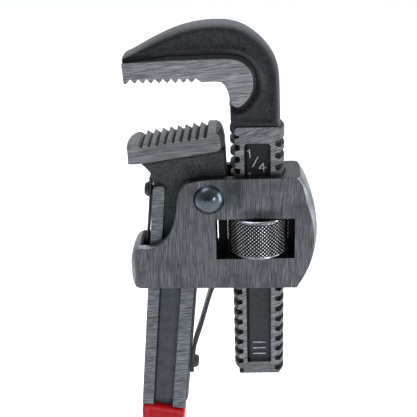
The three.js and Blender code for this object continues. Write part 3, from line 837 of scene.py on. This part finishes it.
# Generic marks of the opening scale, each a line of strokes from the mark's own lower left corner.
MARKS = {
    "1": ((0.0, 2.6), (0.7, 3.3), (0.95, 0.0)),
    "2": ((0.0, 2.8), (1.0, 3.7), (2.0, 2.8), (0.2, 0.0), (2.6, 0.2)),
    "3": ((0.0, 3.7), (1.6, 3.3), (0.4, 2.0), (1.6, 0.8), (0.2, 0.0)),
    "4": ((3.0, 1.8), (0.0, 1.5), (1.9, 3.8), (2.0, 0.0)),
    "/": ((0.0, 0.0), (2.2, 4.1)),
    "-": ((0.0, 0.0), (5.4, 0.0)),
}
SCALE = (
    ("1", 16.0, 16.4), ("/", 18.0, 12.4), ("4", 20.5, 10.0),
    ("1", 16.1, 6.4), ("/", 18.0, 2.4), ("2", 20.6, 0.3),
    ("3", 16.2, -4.6), ("/", 18.0, -8.1), ("4", 20.5, -10.5),
    ("-", 17.4, -71.5), ("-", 17.4, -74.5), ("-", 17.4, -77.5),
)
STROKE_REACH = 0.25


def stroke(start, end, side):
    """One raised stroke of the opening scale on the panel's floor."""
    a, b = Vector(start), Vector(end)
    if side > 0:
        a.x, b.x = 2 * SHANK_X - a.x, 2 * SHANK_X - b.x
    along = (b - a).normalized()
    across = Vector((-along.y, along.x))
    loop = []
    for centre, first in ((a, math.pi / 2), (b, -math.pi / 2)):
        for k in range(6):
            turn = first + math.pi * k / 5
            loop.append(centre + STROKE_REACH * (along * math.cos(turn) + across * math.sin(turn)))
    floor_y = SHANK_HALF - PANEL_DEPTH
    levels = [(side * (floor_y + rise), out) for rise, out in ((-0.2, 0.05), (0.4, 0.0), (0.62, -0.13))]
    return prism(loop if turn_area(loop) > 0 else loop[::-1], levels)


def scale_marks():
    for side in (-1, 1):
        for name, x, z in SCALE:
            points = [(x + right, z + up) for right, up in MARKS[name]]
            for start, end in zip(points, points[1:]):
                yield stroke(start, end, side)


HEAD_LOOKS = {"black": forged("forged_head", shade=head_wear_and_highlights)}
BLOCK_LOOKS = {
    "face": ground("ground_hook", (1, 0, 0.1), (-0.1, 0, 1), 0.2, bright=0.7, length=7.0, width=0.22,
                   spread=1.2),
    "teeth": ground("ground_teeth", (0, 1, 0), (1, 0, 0), 0.055, length=5.0, bright=0.4),
    "black": forged("forged_black"),
    "edge": worn_edge("worn_edge", 0.24),
}
SHANK_LOOKS = {
    "face": ground("ground_shank", (0.94, 0, 0.34), (-0.34, 0, 0.94), 0.15, length=5.0, width=0.26,
                   spread=1.35, bright=0.8, shade=foot_cast),
    "panel": recess("panel_black", panel_black),
    "thread": thread_look(),
}
MARK_LOOKS = {"bright": ground("scale_marks", (1, 0, 0), (0, 0, 1), 0.52, length=2.0)}

for made in (
    piece("hook_jaw_head", hook_head(), HEAD_LOOKS, sharp=40.0),
    piece("hook_jaw_tooth_block", hook_block(), BLOCK_LOOKS, block_sort, bevel=0.14, edge="edge"),
    piece("hook_jaw_shank", shank(), SHANK_LOOKS, shank_sort, sharp=32.0),
    piece("hook_jaw_scale_marks", merged(scale_marks()), MARK_LOOKS),
):
    stand_in(made, "hook_jaw", "hook_jaw")


# ---- handle with heel jaw ----


def web_shadow(look, colour):
    """Painted shadow cast by the left flange into the corner beside it, and painted shadow of the spring on
    the bar's side outside the right flange, weaker below it.
    """
    # Painted shadow of the left flange on the web.
    corner = look.past(LEFT_FLANK, look.z, look.x)
    painted_shadow = look.curve(corner, FLANGE_WIDTH + 0.3, FLANGE_WIDTH + 1.1, 0.95, 0.0)
    colour = look.mix(painted_shadow, colour, (0.004, 0.004, 0.005))
    # Painted shadow of the spring on the bar's side beyond the right flange, weaker low down.
    outside = look.curve(look.past(RIGHT_FLANK, look.z, look.x), -0.3, 0.1)
    upper = look.curve(look.z, -92.0, -86.0, 0.35, 0.95)
    return look.mix(look.times(outside, upper), colour, (0.008, 0.009, 0.012))


def neck_painted_shade(look, colour):
    """Painted shadow under the tooth block, and the bar's side painted dark as shade from the housing's
    lobe down.
    """
    # Painted shadow just below the tooth block's overhanging foot.
    above = look.past(BLOCK_FOOT, look.x, look.z)
    painted_shadow = look.times(look.curve(above, -3.2, -0.8, 0.0, 0.9), look.curve(above, 0.0, 0.6, 1.0, 0.0))
    colour = look.mix(painted_shadow, colour, (0.004, 0.004, 0.005))
    # Painted shade on the bar's side below the housing's lobe.
    low = look.curve(look.z, -30.0, -22.0, 0.85, 0.0)
    return look.mix(low, colour, (0.006, 0.0065, 0.008))


def tooth_valley(look, colour):
    """Painted shade in the bottom of the heel's teeth, and none on the hook's."""
    # Painted shade, darkest at the root line of the teeth.
    valley_shade = look.curve(look.past(TOOTH_ROOT, look.x, look.z), 0.25, 1.0, 0.95, 0.0)
    toothed = look.band(look.x, -26.6, 1.0, 0.2)
    return look.mix(look.times(valley_shade, toothed), colour, (0.003, 0.003, 0.004))


def handle_sort(c, n):
    """Picks by place: the heel's block and teeth at the top, flanges and web below the neck."""
    teeth_low, teeth_right, neck_top, neck_foot = 21, 3.6, 8, -8
    flat = abs(n.y) > 0.9
    if flat and abs(c.y) > JAW_HALF - 0.1:
        return "heel"
    if c.z > teeth_low and c.x < teeth_right and abs(n.y) < 0.5 and n.z > 0.05:
        # The teeth's steep flanks take the near-black painted shade.
        return "flank" if n.z < 0.45 and c.x > -27 else "teeth"
    if flat and abs(c.y) > HANDLE_HALF - 0.1 and c.z < neck_top:
        return "flange"
    if c.z < neck_foot and abs(c.y) > 3.0:
        return "web"
    return "neck"


def web_parted(form):
    """Cuts the channel's floor from the neck's side, level with the housing's lobe."""
    web_top = row(0, 0, -30)
    everything = [*form.verts, *form.edges, *form.faces]
    bmesh.ops.bisect_plane(form, geom=everything, plane_co=web_top, plane_no=(0, 0, 1))
    return form


HANDLE_LOOKS = {
    "neck": forged("forged_neck", (0.021, 0.024, 0.027), (0.078, 0.086, 0.095), shade=neck_painted_shade),
    "heel": ground("ground_heel", (1, 0, 0.08), (-0.08, 0, 1), 0.145, length=10.0, bright=0.7,
                   width=0.22, spread=1.2),
    "teeth": ground("heel_teeth", (0, 1, 0), (1, 0, 0), 0.085, length=5.0, bright=0.4,
                    shade=tooth_valley),
    "flange": ground("ground_flange", (1, 0, 0.1), (-0.1, 0, 1), 0.115, (0.9, 1.0, 1.09), length=5.0,
                     width=0.22, bright=0.9, spread=1.4),
    "web": forged("handle_web", (0.046, 0.051, 0.061), (0.078, 0.085, 0.098), 0.3, 0.08,
                  shade=web_shadow),
    # Painted shade: the teeth's steep flanks near black.
    "flank": recess("tooth_flank_painted_shade", painted_shade_black(0.008)),
}
handle = piece("handle_forging", web_parted(copied("handle")), HANDLE_LOOKS, handle_sort, bevel=0.2)
stand_in(handle, "handle", "handle")


# ---- housing ----

# The depths of the vertices of the bevel at the upper right corner, as shares of the housing's half
# thickness, and how much of the bevel has come in there. They lie right of BEVEL_X, above BEVEL_Z.
BEVEL_SHARE = {0.72: 0.1, 0.9: 0.42, 1.0: 1.0}
CHEEK_TOP, BEVEL_X, BEVEL_Z = 9.2, 36.5, 1.0
WEB_HALF, WEB_LOW, WEB_HIGH, WEB_SIDE, WEB_SHIFT = 1.6, -28.4, -8.8, 3.85, 0.6
NUT_CLEAR = 0.03
WINDOW_LEFT, WINDOW_RIGHT, WINDOW_LOW, WINDOW_HIGH = 2.0, 35.5, -27.5, -8.5


def housing_shade(look, colour):
    """Oily smudges on the brushed cheeks, a painted shadow of the rivet to its right, a darker patch above
    the window, and lighter streaks.
    """
    patch = look.noise(0.11, 3.0, 0.6, distort=0.6)
    colour = look.mix(look.curve(patch, 0.5, 0.66, 0.0, 0.4), colour, (0.040, 0.042, 0.047))
    # Painted shadow of the rivet, to its right; and a darker patch above the window.
    beside = look.times(look.band(look.x, 7.5, 12.0, 3.5), look.band(look.z, -2.0, 6.5, 5.0))
    above = look.times(look.band(look.x, 15.0, 27.0, 7.0), look.band(look.z, -8.8, -6.6, 3.0))
    rivet_shadow_and_patch = look.times(look.math("MAXIMUM", beside, above), look.curve(patch, 0.2, 0.6, 0.25, 0.62))
    colour = look.mix(rivet_shadow_and_patch, colour, (0.014, 0.015, 0.017))
    lift = look.noise(0.09, 2.0, 0.5, look.grain((0, 0, 1), (1, 0, 0), 2.2, 1.1, 5.0))
    return look.mix(look.curve(lift, 0.52, 0.7, 0.0, 0.35), colour, (0.12, 0.125, 0.135))


def near_pocket(form):
    """Brings the middle web's walls close to the nut and to the slot's side."""
    for vert in form.verts:
        p = pivot(vert.co)
        if abs(p.y) > WEB_HALF + 0.05 or not WEB_LOW < p.z < WEB_HIGH:
            continue
        reach = math.hypot(p.x - SHANK_X, p.y)
        if abs(p.x - WEB_SIDE) < 0.05:
            vert.co.x -= WEB_SHIFT * MM
        elif NUT_RADIUS < reach < NUT_RADIUS + 0.5:
            wall = (NUT_RADIUS + NUT_CLEAR) / reach
            vert.co = row(SHANK_X + (p.x - SHANK_X) * wall, p.y * wall, p.z)
    return form


def square_corner(form):
    """Keeps the cheeks' top edge straight up to where the bevel on the right begins."""
    for vert in form.verts:
        p = pivot(vert.co)
        share = BEVEL_SHARE.get(round(abs(p.y) / HOUSING_HALF, 2))
        if p.x < BEVEL_X or p.z < BEVEL_Z or share is None:
            continue
        drop = CHEEK_TOP - p.z
        if drop < 3.3:
            vert.co = row(p.x - 0.53 * drop, p.y, CHEEK_TOP - 0.04 * drop)
        else:
            vert.co = row(p.x + share * (0.47 + 0.148 * p.z), p.y, p.z * (1 + 0.32 * share))
    return form


def housing_sort(c, n):
    """The brushed cheeks and their bevels, the top, painted darker as shade, the outer sides, and the walls
    inside, painted near black as shade.
    """
    upper = c.z > CHEEK_TOP - 1.8
    if abs(n.y) > 0.97 and abs(c.y) > HOUSING_HALF - 0.35:
        return "cheek"
    # The top faces get a darker material: painted shade.
    if upper and n.z > 0.95:
        return "top"
    if upper and n.z > 0.1 and c.x < 31:
        return "cheek"
    if c.x > 29 and n.x > 0.2 or c.x < -24 and n.x < -0.2:
        return "side"
    # The window's and slot's walls are painted near black as shade.
    window = WINDOW_LEFT < c.x < WINDOW_RIGHT and WINDOW_LOW < c.z < WINDOW_HIGH
    return "hollow" if window or abs(c.y) < SLOT_HALF + 0.05 else "side"


HOUSING_LOOKS = {
    "cheek": ground("brushed_housing", (0.04, 0, 1), (1, 0, -0.04), 0.09, (0.96, 1.0, 1.09), length=8.0,
                    bright=0.8, shade=housing_shade, spread=1.35),
    "side": ground("housing_side", (0, 1, 0), (1, 0, 0.3), 0.17, length=6.0, bright=0.25),
    # Painted shade: the inner walls near black.
    "hollow": recess("window_painted_shade", painted_shade_black(0.004)),
    # Painted shade: the top darker than the cheeks and sides.
    "top": ground("housing_top_shaded", (0, 1, 0), (1, 0, 0), 0.03, length=6.0, bright=0.2),
}
cheeks = square_corner(near_pocket(copied("housing")))
housing = piece("housing_frame", cheeks, HOUSING_LOOKS, housing_sort, bevel=0.16)
stand_in(housing, "housing", "housing")


# ---- adjusting nut ----

KNURL_AROUND, KNURL_ROWS, KNURL_DEPTH, KNURL_BLUNT = 48, 9, 0.5, 0.24
COLUMNS, BORE_ROWS = 2 * KNURL_AROUND, 44
# The nut's turned end in section: (radius past the knurl's, rise past the knurl's last row).
RIM = ((-0.45, 0.3), (-0.35, 0.55), (-0.5, 0.85), (-0.8, 1.12), (-1.08, NUT_RIM))


def nut_ring(form, z, radius_at):
    """A ring of vertices round the nut's axis; radius_at(column, angle) gives each one's radius."""
    ring = []
    for c in range(COLUMNS):
        angle = math.tau * c / COLUMNS
        radius = radius_at(c, angle)
        ring.append(form.verts.new(row(SHANK_X + radius * math.cos(angle), radius * math.sin(angle), z)))
    return ring


def knurl(form):
    """Rows of pyramids between two sets of crossing grooves. Returns the rows' vertices."""
    rows_up = 2 * KNURL_ROWS
    low, high = NUT_LOW + NUT_RIM, NUT_HIGH - NUT_RIM
    grid = []
    for r in range(rows_up + 1):
        z = low + (high - low) * r / rows_up
        grid.append(nut_ring(form, z, lambda c, _: NUT_RADIUS - (0 if (r + c) % 2 else KNURL_DEPTH)))
    for r, (one, two) in enumerate(zip(grid, grid[1:])):
        for c in range(COLUMNS):
            d = (c + 1) % COLUMNS
            if (r + c) % 2:
                form.faces.new((one[c], one[d], two[c]))
                form.faces.new((one[d], two[d], two[c]))
            else:
                form.faces.new((one[c], one[d], two[d]))
                form.faces.new((one[c], two[d], two[c]))
    return grid


def bore_radius(angle, z):
    """The bore's thread, which fades out at the nut's ends."""
    fade = smooth(min(z - NUT_LOW, NUT_HIGH - z), 0.0, 0.6)
    return SHANK_RADIUS + 0.25 - 1.1 * fade * (1 - smooth(off_crest(angle, z), 0.06, 0.2))


def nut_form():
    """A knurled ring with turned ends and a threaded bore."""
    form = bmesh.new()
    grid = knurl(form)
    ends = []
    for last, z, sign in ((grid[0], NUT_LOW + NUT_RIM, -1), (grid[-1], NUT_HIGH - NUT_RIM, 1)):
        for out, rise in RIM:
            ring = nut_ring(form, z + sign * rise, lambda c, _: NUT_RADIUS + out)
            join_rings(form, last, ring)
            last = ring
        ends.append(last)
    levels = [NUT_LOW + (NUT_HIGH - NUT_LOW) * r / BORE_ROWS for r in range(BORE_ROWS + 1)]
    bore = [nut_ring(form, z, lambda c, angle: bore_radius(angle, z)) for z in levels]
    for one, two in zip([ends[0], *bore], [*bore, ends[1]]):
        join_rings(form, one, two)
    peaks = [line[c] for r, line in enumerate(grid[1:-1], 1) for c in range(COLUMNS) if (r + c) % 2]
    bmesh.ops.bevel(form, geom=peaks, offset=KNURL_BLUNT * MM, affect="VERTICES", segments=1, profile=0.5)
    return form


def nut_sort(c, _):
    radius = math.hypot(c.x - SHANK_X, c.y)
    plain = c.z > NUT_HIGH - NUT_RIM or c.z < NUT_LOW + NUT_RIM
    return "rim" if plain and radius > SHANK_RADIUS + 0.3 else "knurl"


NUT_LOOKS = {"knurl": knurl_look(), "rim": rim_look()}
nut = piece("adjusting_nut_knurled", nut_form(), NUT_LOOKS, nut_sort, sharp=20.0)
stand_in(nut, "adjusting_nut", "nut")


# ---- rivets ----

RIVET_HEAD, RIVET_RISE, RIVET_SHANK = 6.3, 4.0, 4.6


def turned(profile, centre, axis, segments, dents, seed=0.0):
    """A body turned about axis through centre, from (radius, height) pairs; dents uneven it."""
    form = bmesh.new()
    axis = Vector(axis).normalized()
    one = axis.orthogonal().normalized()
    two = axis.cross(one)
    rings = []
    for radius, height in profile:
        ring = []
        for k in range(segments):
            angle = math.tau * k / segments
            p = Vector(centre) + axis * height + radius * (one * math.cos(angle) + two * math.sin(angle))
            if radius > 0.5:
                p -= axis * dents * (0.5 + 0.5 * noise.noise(p * 0.45 + Vector((seed, 0, 0))))
            ring.append(tuple(p))
        rings.append(ring)
    loft(form, rings)
    return form


def dome(head, rise, base, steps):
    """(radius, height) pairs of a domed head on a small upright edge."""
    lip = 0.15
    ball = (head * head + rise * rise) / (2 * rise)
    widest = math.asin(head / ball)
    pairs = [(head - 0.12, base), (head, base + lip)]
    for k in range(1, steps + 1):
        a = widest * (1 - k / steps)
        pairs.append((max(ball * math.sin(a), 0.05), base + rise - ball + ball * math.cos(a)))
    return pairs


def pivot_rivet_form():
    base = HOUSING_HALF + 0.12
    half = [(RIVET_SHANK, base), *dome(RIVET_HEAD, RIVET_RISE, base, 18)]
    return turned([(r, -h) for r, h in reversed(half)] + half, (0, 0, 0), (0, 1, 0), 72, 0.05)


def small_rivet_form(x, z, lean, side, head, rise):
    """A spring rivet: the shank inside the bar and a low dome outside."""
    axis = (side * math.cos(lean), 0, -side * math.sin(lean))
    core, deep = 1.9, -6.0
    profile = [(0.05, deep), (core, deep), (core, 0.0), (head - 0.1, 0.0), (head, 0.12), (head, 0.6),
               (head - 0.1, 0.85), (2.35, rise - 0.2), (2.1, rise - 0.05), (1.7, rise), (0.05, rise)]
    return turned(profile, (x, 0, z), axis, 40, 0.12, x)


rivet = piece("pivot_rivet_dome", pivot_rivet_form(), {"blued": rivet_look()})
stand_in(rivet, "pivot_rivet", "handle")
for node, spec in (
    ("heel_spring_rivet", {"x": -24.98, "z": 1.2, "lean": 0.09, "side": -1, "head": 3.2, "rise": 2.2}),
    ("handle_spring_rivet", {"x": -9.55, "z": -84.5, "lean": 0.1, "side": 1, "head": 3.0, "rise": 2.0}),
):
    black = forged(node + "_black", (0.012, 0.013, 0.016), (0.05, 0.053, 0.06), 0.5, 0.5, 0.5)
    button = piece(node.replace("rivet", "button"), small_rivet_form(**spec), {"black": black})
    stand_in(button, node, "handle")


# ---- leaf springs ----


def thickened(form, extra):
    """The strip's two faces moved apart by extra on each side."""
    for vert in form.verts:
        vert.normal_update()
    for vert in form.verts:
        vert.co.x += math.copysign(extra * MM, vert.normal.x)
    return form


SPRING_LOOKS = {
    "strip": ground("spring_steel_dark", (0, 0, 1), (0, 1, 0), 0.035, length=7.0, metal=0.5,
                    rough=(0.4, 0.55)),
    "edge": worn_edge("forged_edge", 0.10),
}
for node, extra in (("heel_spring", 0.0), ("handle_spring", 0.18)):
    strip = piece(node + "_strip", thickened(copied(node), extra), SPRING_LOOKS, bevel=0.14, edge="edge")
    stand_in(strip, node, "handle")


# ---- grip ----

GRIP_HALF, GRIP_TOP, GRIP_SLOPE = 6.8, -104.95, -0.163
GRIP_FACE = GRIP_HALF - 0.05
PAD_Z, PAD_RADIUS, HANG_RADIUS, HANG_ROUND = -253.5, 12.7, 4.5, 0.9
# The grip's edge in section: (share of the half thickness, share of its softening inwards).
GRIP_SECTION = ((0.0, 0.0), (0.45, 0.03), (0.62, 0.1), (0.75, 0.22), (0.85, 0.4), (0.92, 0.6),
                (0.97, 0.8), (1.0, 1.05))


def on_edge(edge, value):
    """The straight edge's other coordinate at value."""
    start, there, slope = edge
    return there + slope * (value - start)


def left(z, out=0.0):
    """A point at height z on the handle's left side, or out beyond it."""
    return on_edge(LEFT_FLANK, z) - out, z


def right(z, out=0.0):
    """A point at height z on the handle's right side, or out beyond it."""
    return on_edge(RIGHT_FLANK, z) + out, z


PAD_X = (left(PAD_Z)[0] + right(PAD_Z)[0]) / 2 - 0.05


def grip_top(x):
    """Z of the grip's sloping upper end."""
    return GRIP_TOP + GRIP_SLOPE * (x + 24.5)


def grip_outline():
    arc = []
    for k in range(13):
        a = math.pi * (0.94 + 1.12 * k / 12)
        arc.append((PAD_X + PAD_RADIUS * math.cos(a), PAD_Z + PAD_RADIUS * math.sin(a)))
    x0, x1 = left(-104)[0], right(-106)[0]
    top0, top1 = grip_top(x0), grip_top(x1)
    return outline([
        [(x0 + 0.05, top0 - 2.2), (x0 + 0.65, top0 - 0.75), (x0 + 2.2, top0 - 0.1)],
        [(x1 - 3.2, top1 + 0.25), (x1 - 1.75, top1 - 0.45), (x1 - 1.15, top1 - 2.1)],
        right(-116, -0.8), right(-126, -0.25), right(-140), right(-180), right(-226),
        [right(-226), right(-233, 0.2), right(-241, 0.95), arc[-1]],
        *arc[-2:0:-1],
        [arc[0], left(-241, 0.95), left(-233, 0.2), left(-226)],
        left(-226), left(-180), left(-140),
    ], 5, 1.5)


def circle(x, z, radius):
    turns = [math.tau * k / 40 for k in range(40)]
    return [(x + radius * math.cos(a), z + radius * math.sin(a)) for a in turns]


def grip_softening(p):
    """How far the grip's edge is drawn in: less at its thick upper rim."""
    return 0.55 + 1.4 * smooth(-p.y, 107, 115)


def grip_form():
    loop = grip_outline()
    rim_loop = as_array(loop)

    def height(points):
        rim = gap(points, rim_loop) - 1.9
        crease_depth = 0.3 * ease(rim, 0.7, 1.4) * (1 - ease(rim, 1.6, 2.8))
        dish = (1.15 * ease(rim, 0.1, 1.5) + crease_depth) * ease(points[:, 1], -236, -226)
        return GRIP_FACE - dish + 0.05 * unevenness(points, 1, 0.06, 2.0)

    form = bmesh.new()
    rows = loft(form, pulled(loop, GRIP_SECTION, GRIP_FACE, grip_softening), closed_ends=False)
    hole = as_array(circle(PAD_X, PAD_Z, HANG_RADIUS + HANG_ROUND))
    last = cap(form, rows[0], height, -1, 0.9, hole)
    mouth = cap(form, rows[-1], height, 1, 0.9, hole)
    for side, shares in ((-1, (0.3, 0.6, 1.0)), (1, (1.0, 0.6, 0.3))):
        for share in shares:
            turn = share * math.pi / 2
            y = side * (GRIP_FACE - HANG_ROUND * (1 - math.cos(turn)))
            radius = HANG_RADIUS + HANG_ROUND * (1 - math.sin(turn))
            ring = [form.verts.new(row(x, y, z)) for x, z in circle(PAD_X, PAD_Z, radius)]
            join_rings(form, last, ring)
            last = ring
    join_rings(form, last, mouth)
    return form


grip = piece("grip_coating", grip_form(), {"vinyl": vinyl_look()}, sharp=60.0)
stand_in(grip, "dipped_grip", "handle")


# ---- stage, lights, camera ----

# (name, place from the rivet in metres, width and height, power)
LAMPS = (
    ("key", (0.56, -0.70, 0.13), (0.15, 0.17), 1.7),
    ("right", (0.90, -0.14, 0.08), (0.36, 0.7), 4.5),
    ("low", (-0.19, 0.01, -0.165), (0.05, 0.11), 0.05),
    ("top", (-0.1, 0.14, 1.0), (1.5, 0.5), 9.0),
    ("back", (0.0665, 0.9, 1.01), (1.6, 0.8), 8.0),
)
LAMP_COLOUR = (0.95, 0.985, 1.06)
LENS, LENS_SHIFT = 70.1, -0.0803
CAMERA_PLACE = (0.0491, -0.31345, 0.3198)
CAMERA_FORWARD = (-0.0066, 0.915, -0.4035)
CAMERA_RIGHT = (0.99987, 0.0, -0.0162)
FLOOR_DROP = 0.0002
HORIZON_WHITE = 1.15


def lamp(name, offset, size, power):
    """An area lamp aimed at the rivet, offset from it."""
    data = bpy.data.lights.new(name, "AREA")
    data.shape = "RECTANGLE"
    data.size, data.size_y = size
    data.energy = power
    data.color = LAMP_COLOUR
    made = placed(name, data)
    made.location = row(0, 0, 0) + Vector(offset)
    made.visible_camera = False
    made.rotation_euler = (-Vector(offset)).to_track_quat("-Z", "Y").to_euler()


def floor():
    """A pale sweep that stays white out to the horizon."""
    form = bmesh.new()
    bmesh.ops.create_grid(form, x_segments=8, y_segments=8, size=6.0)
    mesh = bpy.data.meshes.new("floor")
    form.to_mesh(mesh)
    form.free()
    look = Look("pale_floor", specular=0.1)
    look.shader.inputs["Emission Color"].default_value = (1, 1, 1, 1)
    look.shader.inputs["Emission Strength"].default_value = 0.45
    tone = look.noise(0.002, 2.0)
    mesh.materials.append(look.done(look.mix(tone, 0.80, 0.84), look.curve(tone, 0, 1, 0.8, 0.9)))
    made = placed("floor", mesh)
    made.location = (0, 0, cad_box[0][2] - FLOOR_DROP)


def sky():
    """Soft light all round: dim in front, bright behind and above."""
    world = bpy.data.worlds.new("studio")
    world.use_nodes = True
    add, link = world.node_tree.nodes.new, world.node_tree.links.new
    split = add("ShaderNodeSeparateXYZ")
    link(add("ShaderNodeTexCoord").outputs["Generated"], split.inputs[0])
    back = add("ShaderNodeMapRange")
    link(split.outputs["Y"], back.inputs["Value"])
    for name, value in (("From Min", -0.9), ("From Max", 0.8), ("To Min", 0.16), ("To Max", 1.0)):
        back.inputs[name].default_value = value
    seen = add("ShaderNodeMix")
    link(add("ShaderNodeLightPath").outputs["Is Camera Ray"], seen.inputs["Factor"])
    link(back.outputs["Result"], seen.inputs["A"])
    seen.inputs["B"].default_value = HORIZON_WHITE
    background = world.node_tree.nodes["Background"]
    background.inputs["Color"].default_value = (0.95, 0.98, 1.0, 1)
    link(seen.outputs["Result"], background.inputs["Strength"])
    bpy.context.scene.world = world


def camera():
    data = bpy.data.cameras.new("view")
    data.sensor_width = 36.0
    data.lens = LENS
    data.shift_x = LENS_SHIFT
    data.clip_start, data.clip_end = 0.01, 50.0
    forward = Vector(CAMERA_FORWARD).normalized()
    right_hand = Vector(CAMERA_RIGHT)
    right_hand = (right_hand - forward * right_hand.dot(forward)).normalized()
    turn = Matrix((right_hand, right_hand.cross(forward), -forward)).transposed().to_4x4()
    made = placed("view", data)
    made.matrix_world = Matrix.Translation(CAMERA_PLACE) @ turn
    bpy.context.scene.camera = made


floor()
sky()
camera()
for spec in LAMPS:
    lamp(*spec)
bpy.context.scene.view_settings.view_transform = "Standard"

bpy.context.view_layer.update()
